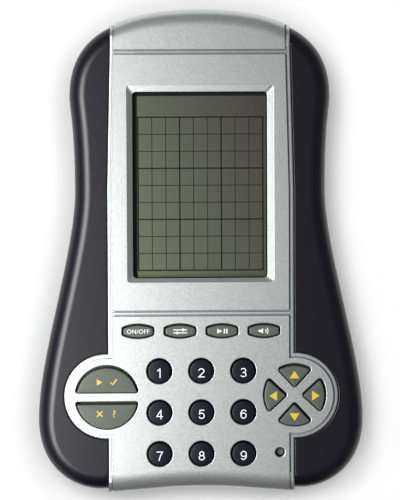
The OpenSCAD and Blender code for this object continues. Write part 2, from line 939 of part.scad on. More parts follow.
// Round key turned from one profile: a lip under the case, a shank and a crowned top with a rounded edge
module round_key(place, hole_d, top, edge, crown, lip_w) {
    r = hole_d / 2 - key_gap;
    lip_r = hole_d / 2 + lip_w;
    translate(concat(place, 0))
        rotate_extrude()
            polygon(concat(
                [[0, key_foot], [lip_r, key_foot], [lip_r, flange_top], [r, flange_top]],
                [for (a = [0 : 18 : 90]) [r - edge * (1 - cos(a)), top - crown - edge * (1 - sin(a))]],
                [for (i = [1 : 4]) let (s = 1 - i / 4) [(r - edge) * s, top - crown * s * s]]
            ));
}

module number_key(n) {
    color("#232327")
        round_key(number_place(n), key_d, key_top, key_edge, key_crown, key_lip);
}

// Recessed button behind the small hole
module reset_button() {
    color("#6d7168")
        round_key(reset_place, reset_d, body_t - reset_sink, key_edge / 2, key_crown / 3, key_lip / 2);
}

// Key shaped like its hole, whose plan is the child: a lip under the case, a shank and a rounded top edge
module shaped_key() {
    slice = 0.02;
    translate([0, 0, key_foot])
        linear_extrude(flange_t)
            offset(r = key_lip, $fn = 24)
                children();
    hull() {
        translate([0, 0, flange_top - over / 2])
            linear_extrude(key_top - key_edge - flange_top + over / 2)
                offset(delta = -key_gap)
                    children();
        for (a = [30, 60, 90])
            translate([0, 0, key_top - key_edge * (1 - sin(a)) - slice])
                linear_extrude(slice)
                    offset(delta = -key_gap - key_edge * (1 - cos(a)))
                        children();
    }
}

module function_key(i) {
    color("#7c8277")
        translate(function_place(i))
            shaped_key()
                function_plan();
}

module moon_key(side) {
    color("#787e74")
        translate([-ear_x, ear_y])
            shaped_key()
                moon_plan(side);
}

module arrow_key(turn) {
    color("#6f756c")
        translate([ear_x, ear_y])
            shaped_key()
                arrow_plan(turn);
}

// Brass disc of the sounder, in its ring on the back cover
module buzzer_disc() {
    color("#c9a24a")
        translate([0, buzzer_y, buzzer_z])
            cylinder(h = buzzer_t, d = buzzer_d);
}

module buzzer_ceramic() {
    color("#e6e2d6")
        translate([0, buzzer_y, buzzer_z + buzzer_t])
            cylinder(h = buzzer_t, d = ceramic_d);
}

function contact_y(i) = bay_y + (i == 0 ? 1 : -1) * cell_pitch / 2;

// One cell along X with its button towards the right
module cell() {
    can_l = cell_l - button_l;
    bead = 0.5;
    rotate([0, 90, 0])
        rotate_extrude()
            polygon([
                [0, 0], [cell_r - bead, 0], [cell_r, bead], [cell_r, can_l - bead], [cell_r - bead, can_l],
                [button_r, can_l], [button_r, cell_l], [0, cell_l]
            ]);
}

module battery_cells() {
    start = bay_half_x - plate_t - 2 * seat_gap - cell_l;
    color("#3a3d42")
        for (i = [0, 1])
            translate([0, contact_y(i), cell_z])
                rotate(i == 0 ? 180 : 0)
                    translate([start, 0, 0])
                        cell();
}

// Coil springs behind the flat ends of the cells
module battery_springs() {
    rings = spring_turns * 8;
    rise = spring_l - spring_wire - 2 * seat_gap;
    wire_gap = rise / spring_turns - spring_wire;
    echo(spring_gap = wire_gap);
    path = [
        for (i = [0 : rings])
            let (a = 45 * i) [rise * i / rings, spring_r * cos(a), spring_r * sin(a)]
    ];
    start = -bay_half_x + plate_t + 2 * seat_gap + spring_wire / 2;
    color("#c6c8ca")
        for (i = [0, 1])
            translate([0, contact_y(i), cell_z])
                rotate(i == 0 ? 180 : 0)
                    translate([start, 0, 0])
                        tube(path, spring_wire, 6);
}

// The two end contacts, each with a solder tag through the wall of the bay
module battery_contacts() {
    color("#c6c8ca")
        for (i = [0, 1]) {
            translate([-bay_half_x + seat_gap, contact_y(i) - plate_w / 2, cell_z - plate_w / 2])
                cube([plate_t, plate_w, plate_w]);
            translate([-bay_half_x - tag_out[i], contact_y(i) - tag_w / 2, tag_z])
                cube([tag_out[i] + seat_gap + plate_t, tag_w, plate_t]);
        }
}

// Plate that joins the two cells at the other end of the bay
module battery_link() {
    link_w = cell_pitch + plate_w;
    color("#c6c8ca")
        translate([bay_half_x - seat_gap - plate_t, bay_y - link_w / 2, cell_z - plate_w / 2])
            cube([plate_t, link_w, plate_w]);
}

// Pan-head screw that points up from the underside of what it holds
module screw(r, l, head_r, head_t) {
    rotate_extrude()
        polygon([
            [0, -head_t], [head_r * 0.7, -head_t], [head_r, -head_t * 0.5], [head_r, 0], [r, 0], [r, l - r],
            [r * 0.4, l], [0, l]
        ]);
}

module case_screws() {
    color("#9a9ca0")
        for (p = case_screw_places)
            translate(concat(p, split_z - case_seat_t))
                screw(case_screw_r, case_screw_l, case_head_r, case_head_t);
}

module board_screws() {
    color("#9a9ca0")
        for (p = board_screw_places)
            translate(concat(p, board_z))
                screw(board_screw_r, floor_z - board_z - screw_short, board_head_r, board_head_t);
}

// Lead along one smooth curve between two ends with their directions
module lead(a, b, c, d) {
    first = a + lead_d * (b - a) / norm(b - a);
    last = d - lead_d * (d - c) / norm(d - c);
    tube(
        concat([a], [for (i = [0 : lead_rings]) cubic(first, b, c, last, i / lead_rings)], [d]),
        lead_d, lead_sides
    );
}

// Wires from the solder tags to the board
module battery_leads() {
    color("#b02a2a")
        for (i = [0, 1]) {
            start = [-bay_half_x - tag_out[i] + lead_d / 2, contact_y(i) + tag_w / 3,
                tag_z + plate_t + lead_d / 2 + seat_gap];
            end = concat(battery_pads[i], board_z - seat_gap);
            reach = (start[1] - end[1]) / 2;
            lead(start, start - [0, reach, 0], end - [0, 0, lead_rise], end);
        }
}

// Wires from the sounder to the board
module buzzer_leads() {
    color("#3a3a3a")
        for (i = [0, 1]) {
            foot = [i == 0 ? (buzzer_d + ceramic_d) / 4 : ceramic_d / 4, buzzer_y,
                buzzer_z + buzzer_t * (1 + i) + seat_gap];
            end = concat(buzzer_pads[i], board_z - seat_gap);
            lead(foot, foot + [0, 0, lead_rise], end - [0, 0, lead_rise], end);
        }
}

face_panel();
front_case();
back_cover();
battery_door();
window_lens();
lcd_polariser();
lcd_front_glass();
lcd_rear_glass();
lcd_reflector();
lcd_frame();
zebra_strip();
main_board();
chip_blob();
board_parts();
rubber_mat();
contact_pills();
number_key(1);  // key_1
number_key(2);  // key_2
number_key(3);  // key_3
number_key(4);  // key_4
number_key(5);  // key_5
number_key(6);  // key_6
number_key(7);  // key_7
number_key(8);  // key_8
number_key(9);  // key_9
function_key(0);  // key_power
function_key(1);  // key_set
function_key(2);  // key_mode
function_key(3);  // key_sound
moon_key(1);  // key_start
moon_key(-1);  // key_clear
arrow_key(0);  // key_up
arrow_key(180);  // key_down
arrow_key(90);  // key_left
arrow_key(270);  // key_right
reset_button();
buzzer_disc();
buzzer_ceramic();
battery_cells();
battery_springs();
battery_contacts();
battery_link();
case_screws();
board_screws();
battery_leads();
buzzer_leads();
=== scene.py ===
import math

import bmesh
import bpy
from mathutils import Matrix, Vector
from mathutils.bvhtree import BVHTree
from mathutils.geometry import interpolate_bezier


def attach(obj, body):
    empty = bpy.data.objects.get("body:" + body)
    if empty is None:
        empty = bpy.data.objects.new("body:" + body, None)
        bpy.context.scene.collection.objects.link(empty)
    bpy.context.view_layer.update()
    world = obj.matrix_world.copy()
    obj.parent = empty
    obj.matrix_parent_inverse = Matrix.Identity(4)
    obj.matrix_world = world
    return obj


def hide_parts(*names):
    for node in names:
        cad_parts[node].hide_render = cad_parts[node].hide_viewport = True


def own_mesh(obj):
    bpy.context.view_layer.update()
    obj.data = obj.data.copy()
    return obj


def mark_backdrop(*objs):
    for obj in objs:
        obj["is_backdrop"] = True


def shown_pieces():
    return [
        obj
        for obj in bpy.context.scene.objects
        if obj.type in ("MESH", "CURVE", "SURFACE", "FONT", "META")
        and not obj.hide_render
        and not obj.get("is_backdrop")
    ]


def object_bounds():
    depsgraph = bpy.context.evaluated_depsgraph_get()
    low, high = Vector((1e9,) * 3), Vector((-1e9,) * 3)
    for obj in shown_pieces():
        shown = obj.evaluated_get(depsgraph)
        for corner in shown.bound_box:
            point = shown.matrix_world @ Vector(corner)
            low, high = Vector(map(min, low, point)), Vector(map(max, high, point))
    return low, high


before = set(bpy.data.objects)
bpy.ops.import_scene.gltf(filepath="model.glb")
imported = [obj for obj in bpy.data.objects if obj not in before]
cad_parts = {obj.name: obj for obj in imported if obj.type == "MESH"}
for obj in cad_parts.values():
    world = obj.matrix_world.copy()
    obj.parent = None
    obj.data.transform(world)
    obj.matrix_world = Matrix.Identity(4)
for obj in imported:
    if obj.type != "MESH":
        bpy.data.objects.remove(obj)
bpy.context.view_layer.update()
MM = 0.001


# Back cover: black ABS, injection moulded in one piece with the battery bay, six screw tubes and the ring
# that seats the sounder. Its mould was spark-eroded, so the outside has a fine even grain, and a tongue round
# its rim takes the front case.
def linear(code):
    """Linear colour of an sRGB hex code."""
    values = [int(code[i:i + 2], 16) / 255 for i in (1, 3, 5)]
    return [v / 12.92 if v <= 0.04045 else ((v + 0.055) / 1.055) ** 2.4 for v in values] + [1.0]


def add(tree, kind, inputs=(), **settings):
    """Node of a kind, with its settings, and its inputs set to values or linked to sockets."""
    node = tree.nodes.new(kind)
    for name, value in settings.items():
        setattr(node, name, value)
    for key, value in dict(inputs).items():
        if isinstance(value, bpy.types.NodeSocket):
            tree.links.new(value, node.inputs[key])
        else:
            node.inputs[key].default_value = value
    return node


def new_material(name, inputs=()):
    """Material with one Principled shader: the material, its tree and the shader."""
    material = bpy.data.materials.new(name)
    material.use_nodes = True
    shader = material.node_tree.nodes["Principled BSDF"]
    for key, value in dict(inputs).items():
        shader.inputs[key].default_value = value
    return material, material.node_tree, shader


def texture(tree, shader, fac, dark, light, smooth, rough, depth=0.0):
    """Lets one pattern move a shader's colour and roughness between two values, and its relief by some mm."""
    colour = add(tree, "ShaderNodeMix", {0: fac, 6: linear(dark), 7: linear(light)}, data_type="RGBA")
    tree.links.new(colour.outputs[2], shader.inputs["Base Color"])
    sheen = add(tree, "ShaderNodeMapRange", {"Value": fac, "To Min": smooth, "To Max": rough})
    tree.links.new(sheen.outputs[0], shader.inputs["Roughness"])
    if depth:
        relief = add(tree, "ShaderNodeBump", {"Height": fac, "Distance": depth * MM})
        tree.links.new(relief.outputs[0], shader.inputs["Normal"])


def noise(tree, size, detail=2.0, stretch=(1, 1, 1)):
    """Noise on the object's own coordinates whose blotches have a real size in mm."""
    place = add(tree, "ShaderNodeTexCoord")
    scaled = add(tree, "ShaderNodeMapping", {"Vector": place.outputs["Object"], "Scale": stretch})
    return add(tree, "ShaderNodeTexNoise", {
        "Vector": scaled.outputs[0], "Scale": 1 / (size * MM), "Detail": detail}).outputs[0]


def grained(name, inputs, grain, dark, light, smooth, rough, depth=0.0):
    """Material that follows one noise, which is given by its size in mm, its detail and its stretch."""
    material, tree, shader = new_material(name, inputs)
    texture(tree, shader, noise(tree, *grain), dark, light, smooth, rough, depth)
    return material


def level(plan, z):
    """Plan points raised to a height."""
    return [(p[0], p[1], z) for p in plan]


def ring(x, y, r, steps=48):
    """Plan of a circle."""
    turns = [2 * math.pi * i / steps for i in range(steps)]
    return [(x + r * math.cos(a), y + r * math.sin(a)) for a in turns]


def loft(rows):
    """Closed form through rows of points from the first to the last, with flat ends: points and faces."""
    n = len(rows[0])
    points = [p for row in rows for p in row]
    faces = [tuple(range(n))[::-1], tuple(range(len(points) - n, len(points)))]
    for j in range(0, len(points) - n, n):
        faces += [(j + i, j + (i + 1) % n, j + n + (i + 1) % n, j + n + i) for i in range(n)]
    return points, faces


def raised(plan, rows):
    """Closed form whose plan changes with its height: rows of a measure that the plan takes and a height."""
    return loft([level(plan(by), z) for by, z in rows])


def post(x, y, r, low, high):
    """Round post between two heights."""
    return loft([level(ring(x, y, r), low), level(ring(x, y, r), high)])


def block(x0, x1, y0, y1, low, high):
    """Square block between two heights."""
    plan = [(x0, y0), (x1, y0), (x1, y1), (x0, y1)]
    return loft([level(plan, low), level(plan, high)])


def together(forms):
    """Several separate forms as one."""
    points, faces = [], []
    for some, sides in forms:
        faces += [tuple(i + len(points) for i in side) for side in sides]
        points += some
    return points, faces


def piece(name, form, material):
    """Object at the origin made from a form in mm."""
    mesh = bpy.data.meshes.new(name)
    mesh.from_pydata([Vector(p) * MM for p in form[0]], [], form[1])
    mesh.materials.append(material)
    obj = bpy.data.objects.new(name, mesh)
    bpy.context.scene.collection.objects.link(obj)
    return obj


def settle(obj):
    """Makes a piece with its modifiers a plain mesh."""
    graph = bpy.context.evaluated_depsgraph_get()
    made = bpy.data.meshes.new_from_object(
        obj.evaluated_get(graph), preserve_all_data_layers=True, depsgraph=graph)
    old, obj.data = obj.data, made
    obj.modifiers.clear()
    bpy.data.meshes.remove(old)
    made.name = obj.name


def carve(obj, form, operation="DIFFERENCE", material=None):
    """Cuts a form out of a piece, joins it, or keeps what lies in both; a cut may have its own material."""
    tool = piece("tool", form, material or obj.data.materials[0])
    change = obj.modifiers.new("carve", "BOOLEAN")
    change.operation, change.solver, change.object = operation, "MANIFOLD", tool
    change.material_mode = "TRANSFER" if material else "INDEX"
    settle(obj)
    bpy.data.meshes.remove(tool.data)


def taken(obj):
    """Form of a scratch piece in mm: points and faces. The piece itself is removed."""
    form = [v.co / MM for v in obj.data.vertices], [tuple(p.vertices) for p in obj.data.polygons]
    bpy.data.meshes.remove(obj.data)
    return form


def soften(obj, angle=32):
    """Shades a piece smooth except along edges sharper than an angle."""
    obj.data.shade_smooth()
    obj.data.set_sharp_from_angle(angle=math.radians(angle))
    obj.modifiers.new("weigh", "WEIGHTED_NORMAL").keep_sharp = True
    settle(obj)


def stand(obj, body, slot, *nodes):
    """Lets a piece ride a body and stand for CAD nodes, which are hidden. The slot is not used."""
    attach(obj, body)
    if nodes:
        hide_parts(*nodes)


def geometry_tree(name, kinds):
    """Geometry tree with an input for each name and socket kind: the tree and its inputs."""
    tree = bpy.data.node_groups.new(name, "GeometryNodeTree")
    tree.interface.new_socket("Geometry", in_out="INPUT", socket_type="NodeSocketGeometry")
    tree.interface.new_socket("Geometry", in_out="OUTPUT", socket_type="NodeSocketGeometry")
    for label, kind in kinds.items():
        tree.interface.new_socket(label, in_out="INPUT", socket_type="NodeSocket" + kind)
    return tree, add(tree, "NodeGroupInput").outputs


def close_tree(tree, geometry, material):
    """Ends a geometry tree: its instances become a mesh of one material."""
    real = add(tree, "GeometryNodeRealizeInstances", {"Geometry": geometry})
    painted = add(tree, "GeometryNodeSetMaterial", {"Geometry": real.outputs[0], "Material": material})
    add(tree, "NodeGroupOutput", {0: painted.outputs[0]})


def repeat(obj, tree, values):
    """Runs a geometry tree on a piece with its named inputs set, and keeps the mesh it makes."""
    change = obj.modifiers.new("repeat", "NODES")
    change.node_group = tree
    for item in tree.interface.items_tree:
        if item.in_out == "INPUT" and item.name in values:
            change[item.identifier] = values[item.name]
    settle(obj)


# Right half of the body's outline, from the middle of the display end round to the middle of the key end
spans = [
    ((0, 72.5), (22.7, 72.5), (39.5, 67.0), (39.5, 47.1)),
    ((39.5, 47.1), (39.5, 42.6), (38.0, 38.9), (38.0, 18.7)),
    ((38.0, 18.7), (38.0, 0.1), (49.5, -32.4), (49.5, -51.0)),
    ((49.5, -51.0), (49.5, -67.0), (38.0, -72.5), (30.5, -72.5)),
    ((30.5, -72.5), (19.8, -72.5), (12.2, -71.2), (0, -71.2)),
]
half = []
for span, steps in zip(spans, (40, 26, 36, 44, 26)):
    half += interpolate_bezier(*[Vector(p) for p in span], steps + 1)[:-1]
half.append(Vector((0, -71.2, 0)))
outline = [Vector((-p.x, p.y)) for p in half[1:-1]] + [Vector((p.x, p.y)) for p in half[::-1]]


def drawn_in(inset):
    """The outline moved inwards by an even distance."""
    plan = []
    for i, p in enumerate(outline):
        along = (outline[(i + 1) % len(outline)] - outline[i - 1]).normalized()
        plan.append((p.x - inset * along.y, p.y + inset * along.x))
    return plan


def quarter(x, z, r, first, last, steps=10):
    """Points of a profile on an arc between two angles."""
    angles = [math.radians(first + (last - first) * i / steps) for i in range(steps + 1)]
    return [(x + r * math.cos(a), z + r * math.sin(a)) for a in angles]


# Satin black with a fine even grain, so that broad highlights break up softly
black_abs = grained(
    "Black ABS", {"Specular IOR Level": 0.4}, (0.22, 3.0), "#090712", "#0F0C1A", 0.3, 0.38, 0.012)

outer_r, inner_r, joint_z, joint_edge, joint_drop = 4.0, 1.8, 11.0, 0.25, 0.3
tongue_out, tongue_in, tongue_top, tongue_foot, back_wall, wall_top = 2.35, 3.55, 12.5, 9.8, 2.2, 8.6
rim = [(0, joint_z - joint_drop), (joint_edge, joint_z), (tongue_out, joint_z), (tongue_out, tongue_top)]
rim += [(tongue_in, tongue_top), (tongue_in, tongue_foot), (back_wall, wall_top)]
back = piece("back_cover_moulding", raised(
    drawn_in, quarter(outer_r, outer_r, outer_r, 270, 180) + rim
    + quarter(outer_r, outer_r, inner_r, 180, 270)), black_abs)
# What stands up inside: the walls of the bay, the sounder's ring and the screw tubes
screw_places = [(s * x, y) for s in (-1, 1) for x, y in ((30.5, 56.0), (33.5, -6.0), (37.0, -62.0))]
screw_seat, tube_r, well_r, well_mouth, bore_r = 8.6, 3.6, 2.7, 3.2, 1.6
bay_x, bay_low, bay_high, bay_wall, bay_roof, roof_top = 24.95, 10.0, 32.0, 1.2, 13, 14.2
sound_y, ring_r, ring_top, seat_r, seat_z, tray_r, tray_z = -48.0, 14.85, 4.25, 13.65, 3.2, 11, 2.2
carve(back, together(
    [block(-bay_x - bay_wall, bay_x + bay_wall, bay_low - bay_wall, bay_high + bay_wall, 1, roof_top)]
    + [post(0, sound_y, ring_r, 1, ring_top)]
    + [post(x, y, tube_r, 1, joint_z) for x, y in screw_places]), "UNION")
# What is hollow: the bay, the sounder's seat and the wells for the screw heads
well = [(well_mouth, -0.2), (well_r, 0.3), (well_r, screw_seat)]
carve(back, together(
    [block(-bay_x, bay_x, bay_low, bay_high, -1, bay_roof), post(0, sound_y, seat_r, seat_z, 9)]
    + [loft([level(ring(x, y, r), z) for r, z in well]) for x, y in screw_places]))
# The door's recess with its broken edge, the tray under the sounder and the screws' bores
door_x, door_low, door_middle = 26.55, 8.4, 20.2
recess = [(-door_x, door_low), (door_x, door_low), (door_x, bay_high), (-door_x, bay_high)]
recess_rows = [
    level([(x * grow, y + (y - door_middle) * (grow - 1) * 2) for x, y in recess], z)
    for grow, z in ((1.02, -0.3), (1.0, 0.25), (1.0, 1.5))]
carve(back, together(
    [loft(recess_rows), post(0, sound_y, tray_r, tray_z, 9)]
    + [post(x, y, bore_r, 8, 12) for x, y in screw_places]))
# The scoop for a fingertip, and the slots for the contacts' tags and the door's tongues
scoop = [level(ring(0, door_low, r), z) for r, z in quarter(0, -12, 13.1, 60, 88, 8)]
tag_slots = [block(-bay_x - 2.2, -bay_x + 1, y, y + 3, 7.7, 8.7) for y in (14, 25)]
tongue_slots = [block(x - 3.3, x + 3.3, 31, 35.6, 1.3, 4.8) for x in (-14, 14)]
carve(back, together([loft(scoop)] + tag_slots + tongue_slots))

# Sound holes: one drill in the middle of a ring of drills
drill_kinds = {"Count": "Int", "Circle": "Float", "Drill": "Float", "Place": "Vector"}
tree, given = geometry_tree("Ring of drills", drill_kinds)
drill = add(tree, "GeometryNodeMeshCylinder", {"Vertices": 24, "Radius": given["Drill"], "Depth": 8 * MM})
circle = add(tree, "GeometryNodeMeshCircle", {"Vertices": given["Count"], "Radius": given["Circle"]})
middle = add(tree, "GeometryNodeMeshCircle", {"Vertices": 3, "Radius": 0.0})
centre = add(tree, "GeometryNodeMergeByDistance", {"Geometry": middle.outputs[0], "Distance": 1e-6})
points = add(tree, "GeometryNodeJoinGeometry", {0: circle.outputs[0]})
tree.links.new(centre.outputs[0], points.inputs[0])
drills = add(tree, "GeometryNodeInstanceOnPoints", {
    "Points": points.outputs[0], "Instance": drill.outputs[0]})
moved = add(tree, "GeometryNodeTransform", {"Geometry": drills.outputs[0], "Translation": given["Place"]})
close_tree(tree, moved.outputs[0], black_abs)
sound_holes = piece("sound_holes", ([], []), black_abs)
repeat(sound_holes, tree, {"Count": 6, "Circle": 5 * MM, "Drill": 0.9 * MM, "Place": (0, sound_y * MM, 0)})
carve(back, taken(sound_holes))
soften(back)
stand(back, "housing", "black_abs", "back_cover")


# Sounder: a thin rolled brass disc with a fired ceramic layer, glued into the ring of the back cover. The
# ceramic carries a brushed-on silver electrode, so it looks chalky with streaks.
def resurface(node, material):
    """Gives a CAD node that is shown as it is its real surface."""
    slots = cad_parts[node].data.materials
    slots.clear()
    slots.append(material)


# Warm sheet metal with faint rolling lines along X
brass = grained(
    "Rolled brass", {"Metallic": 1.0}, (0.5, 3.0, (0.08, 1, 1)), "#B08A3C", "#D2AE5E", 0.28, 0.42, 0.004)
resurface("buzzer_disc", brass)
# Chalky pale layer with short brush streaks
ceramic = grained("Silvered ceramic", {}, (0.8, 4.0, (1, 0.15, 1)), "#CFCBBF", "#E9E5DA", 0.5, 0.75, 0.006)
resurface("buzzer_ceramic", ceramic)


# Batteries: two AAA cells in printed sleeves lie head to tail in the bay, pressed by wound nickel-plated
# springs against stamped nickel-plated contacts, whose tags pass through the wall of the bay.
# Dark sleeve with a copper-coloured band at the button end, under clear varnish
sleeve, tree, shader = new_material("Printed cell sleeve", {"Roughness": 0.24, "Coat Weight": 0.4})
place = add(tree, "ShaderNodeTexCoord")
split = add(tree, "ShaderNodeSeparateXYZ", {0: place.outputs["Object"]})
upper = add(tree, "ShaderNodeMath", {0: split.outputs["Y"], 1: 21 * MM}, operation="GREATER_THAN")
way = add(tree, "ShaderNodeMath", {0: upper.outputs[0], 1: -2.0, 2: 1.0}, operation="MULTIPLY_ADD")
along = add(tree, "ShaderNodeMath", {0: split.outputs["X"], 1: way.outputs[0]}, operation="MULTIPLY")
band, tin = [
    add(tree, "ShaderNodeMapRange", {
        "Value": along.outputs[0], "From Min": start * MM, "From Max": stop * MM})
    for start, stop in ((12.4, 12.6), (22.6, 22.7))]
colour = add(tree, "ShaderNodeMix", {
    0: noise(tree, 0.6), 6: linear("#16181B"), 7: linear("#222529")}, data_type="RGBA")
for stretch, code in ((band, "#B87A45"), (tin, "#C4C6C8")):
    colour = add(tree, "ShaderNodeMix", {
        0: stretch.outputs[0], 6: colour.outputs[2], 7: linear(code)}, data_type="RGBA")
shine = add(tree, "ShaderNodeMath", {0: band.outputs[0], 1: 0.85}, operation="MULTIPLY")
tree.links.new(colour.outputs[2], shader.inputs["Base Color"])
tree.links.new(shine.outputs[0], shader.inputs["Metallic"])
resurface("battery_cells", sleeve)
# Bright plate, a little cloudy from the bath
nickel = grained("Nickel-plated spring steel", {"Metallic": 1.0}, (1.5, 4.0), "#B4B6B6", "#D0D2D1", 0.2, 0.36)
resurface("battery_contacts", nickel)
resurface("battery_link", nickel)

spring_kinds = dict.fromkeys(("Turns", "Foot radius", "Head radius", "Rise", "Wire"), "Float")
tree, given = geometry_tree("Wound springs", spring_kinds)
coil = add(tree, "GeometryNodeCurveSpiral", {
    "Resolution": 40, "Rotations": given["Turns"], "Start Radius": given["Foot radius"],
    "End Radius": given["Head radius"], "Height": given["Rise"]})
wire = add(tree, "GeometryNodeCurvePrimitiveCircle", {"Resolution": 12, "Radius": given["Wire"]})
wound = add(tree, "GeometryNodeCurveToMesh", {
    "Curve": coil.outputs[0], "Profile Curve": wire.outputs[0], "Fill Caps": True})
index = add(tree, "GeometryNodeInputIndex")
lean = add(tree, "ShaderNodeMath", {
    0: index.outputs[0], 1: math.pi, 2: -math.pi / 2}, operation="MULTIPLY_ADD")
turned = add(tree, "ShaderNodeCombineXYZ", {1: lean.outputs[0]})
springs = add(tree, "GeometryNodeInstanceOnPoints", {
    "Points": given["Geometry"], "Instance": wound.outputs[0], "Rotation": turned.outputs[0]})
close_tree(tree, springs.outputs[0], nickel)
contact_springs = piece("contact_springs", ([(24.15, 26.5, 7.5), (-24.15, 15.5, 7.5)], []), nickel)
repeat(contact_springs, tree, {
    "Turns": 3.5, "Foot radius": 2.6 * MM, "Head radius": 2.2 * MM, "Rise": 3.7 * MM, "Wire": 0.28 * MM})
soften(contact_springs, 50)
stand(contact_springs, "housing", "nickel_steel", "battery_springs")


# Circuit board: glass-epoxy sheet with a green solder mask over etched tracks, routed to shape and hung from
# the front case by six screws. The bare chip under it is sealed with a drop of resin; leads run to the bay
# and to the sounder.
# Green mask that shows the tracks beneath as paler ridges
board, tree, shader = new_material("Solder-masked board", {"Coat Weight": 0.3})
place = add(tree, "ShaderNodeTexCoord")
tracks = add(tree, "ShaderNodeTexBrick", {
    "Vector": place.outputs["Object"], "Scale": 1 / MM, "Brick Width": 9.0, "Row Height": 1.4,
    "Mortar Size": 0.22, "Color1": (0, 0, 0, 1), "Color2": (0, 0, 0, 1), "Mortar": (1, 1, 1, 1)})
texture(tree, shader, tracks.outputs["Fac"], "#1F4A2A", "#34703F", 0.4, 0.3, 0.03)
resurface("main_board", board)
# Glossy black drop, slightly uneven where it ran
resin = grained("Chip resin", {}, (2.5, 2.0), "#08080A", "#131316", 0.12, 0.28, 0.05)
resurface("chip_blob", resin)
# Grey tin with a drawn grain
tin_can = grained("Tinned metal", {"Metallic": 1.0}, (0.4, 3.0, (1, 0.1, 1)), "#A2A4A8", "#C6C8CB", 0.25, 0.4)
resurface("board_parts", tin_can)
# Dull bluish plating with fine pits
zinc = grained("Zinc-plated steel", {"Metallic": 1.0}, (0.3, 4.0), "#94979C", "#B9BDC2", 0.28, 0.46, 0.004)
resurface("board_screws", zinc)
# Soft insulation with a faintly uneven skin, red for the batteries and black for the sounder
red_pvc = grained("Red PVC", {}, (0.5, 2.0), "#8E1E1E", "#B62C2A", 0.35, 0.5, 0.01)
resurface("battery_leads", red_pvc)
black_pvc = grained("Black PVC", {}, (0.5, 2.0), "#161616", "#262626", 0.35, 0.5, 0.01)
resurface("buzzer_leads", black_pvc)


# Keypad: one sheet of translucent silicone with a dome under each key, laid on the board, and a carbon pill
# bonded into every dome to bridge the tracks. A pressed key flattens its dome and brings the pill down.
def welded(node):
    """Closed form of a CAD node with plain faces: points and faces."""
    work = bmesh.new()
    work.from_mesh(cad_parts[node].data)
    bmesh.ops.remove_doubles(work, verts=work.verts, dist=0.001 * MM)
    bmesh.ops.dissolve_limit(work, angle_limit=math.radians(1), verts=work.verts, edges=work.edges)
    work.verts.index_update()
    form = [tuple(v.co / MM) for v in work.verts], [tuple(v.index for v in side.verts) for side in work.faces]
    work.free()
    return form


# Milky rubber, dusty to the eye, with light coming through thin skirts
silicone = grained(
    "Silicone rubber", {"Subsurface Weight": 0.25, "Subsurface Scale": 1.0 * MM},
    (1.2, 4.0), "#C9C9C1", "#DEDED7", 0.55, 0.75, 0.01)
# Dead black with a powdery surface
carbon = grained("Carbon rubber", {}, (0.3, 4.0), "#0C0C0D", "#1A1A1B", 0.7, 0.9, 0.01)
column, row, first_row_y, function_y, ear_x, ear_y = 12.7, 12.6, -36.15, -24.0, 28.6, -43.8
number_places = [((n % 3 - 1) * column, first_row_y - n // 3 * row) for n in range(9)]
function_places = [((i - 1.5) * column, function_y) for i in range(4)]
reset_place, moon_dome, wedge_dome = (23.8, -61.1), 5.525, 6.112
dome_places = {f"key_{n}": place for n, place in enumerate(number_places, 1)}
dome_places.update(zip(("key_power", "key_set", "key_mode", "key_sound"), function_places))
dome_places.update({
    "key_start": (-ear_x, ear_y + moon_dome), "key_clear": (-ear_x, ear_y - moon_dome),
    "key_up": (ear_x, ear_y + wedge_dome), "key_down": (ear_x, ear_y - wedge_dome),
    "key_left": (ear_x - wedge_dome, ear_y), "key_right": (ear_x + wedge_dome, ear_y),
    "reset_button": reset_place})
board_top, dome_r, reset_share, fit = 17.2, 3.2, 0.6, 0.01
ceiling, hollow_top, hollow_foot, pill_r, pill_t = 18.3, 1.65, 2.28, 1.4, 0.3
dome_share = {body: reset_share if body == "reset_button" else 1 for body in dome_places}
# Outside of a dome from its foot up: skirt, straight head and rounded edge
dome_rows = [(dome_r, board_top), (dome_r, 18.0), (2.6, 18.45), (2.15, 18.8), (2.0, 19.05), (2.0, 19.65)]
dome_rows += [(1.94, 19.79), (1.8, 19.85)]
keypad_sheet = piece("keypad_sheet", welded("rubber_mat"), silicone)
carve(keypad_sheet, together([
    post(x, y, dome_r * dome_share[body] + fit, 16, 21) for body, (x, y) in dome_places.items()]))
stand(keypad_sheet, "housing", "silicone", "rubber_mat")
for body, (x, y) in dome_places.items():
    share = dome_share[body]
    rows = [(hollow_top, ceiling), (hollow_foot, board_top)] + dome_rows
    dome = piece(body + "_dome", loft([level(ring(x, y, r * share), z) for r, z in rows]), silicone)
    soften(dome, 50)
    stand(dome, "housing", "silicone", "rubber_mat")
    pill = piece(body + "_pill", post(x, y, pill_r * share, ceiling - pill_t, ceiling), carbon)
    soften(pill)
    stand(pill, "housing", "carbon_rubber", "contact_pills")
    for soft in (dome, pill):
        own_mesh(soft)


# Display: two sheets of glass with the liquid between them, a reflector behind and a polarising film in
# front, held by a white frame over a striped rubber connector. The film is opaque here, so the dark segments
# lie on its face.
# Silvery green film with a soft mottle
reflector = grained("Reflector film", {"Metallic": 0.4}, (0.4, 3.0), "#85897A", "#979B8B", 0.45, 0.6)
resurface("lcd_reflector", reflector)
# Clear glass with a green tint and faint polish marks
glass = grained("Display glass", {"Alpha": 0.35, "IOR": 1.52}, (6.0, 2.0), "#A7B4A6", "#B6C1B4", 0.03, 0.08)
resurface("lcd_front_glass", glass)
resurface("lcd_rear_glass", glass)
# Plain white moulding with a matt grain
white_abs = grained("White ABS", {}, (0.25, 3.0), "#DCDCD7", "#E8E8E4", 0.5, 0.62, 0.01)
resurface("lcd_frame", white_abs)
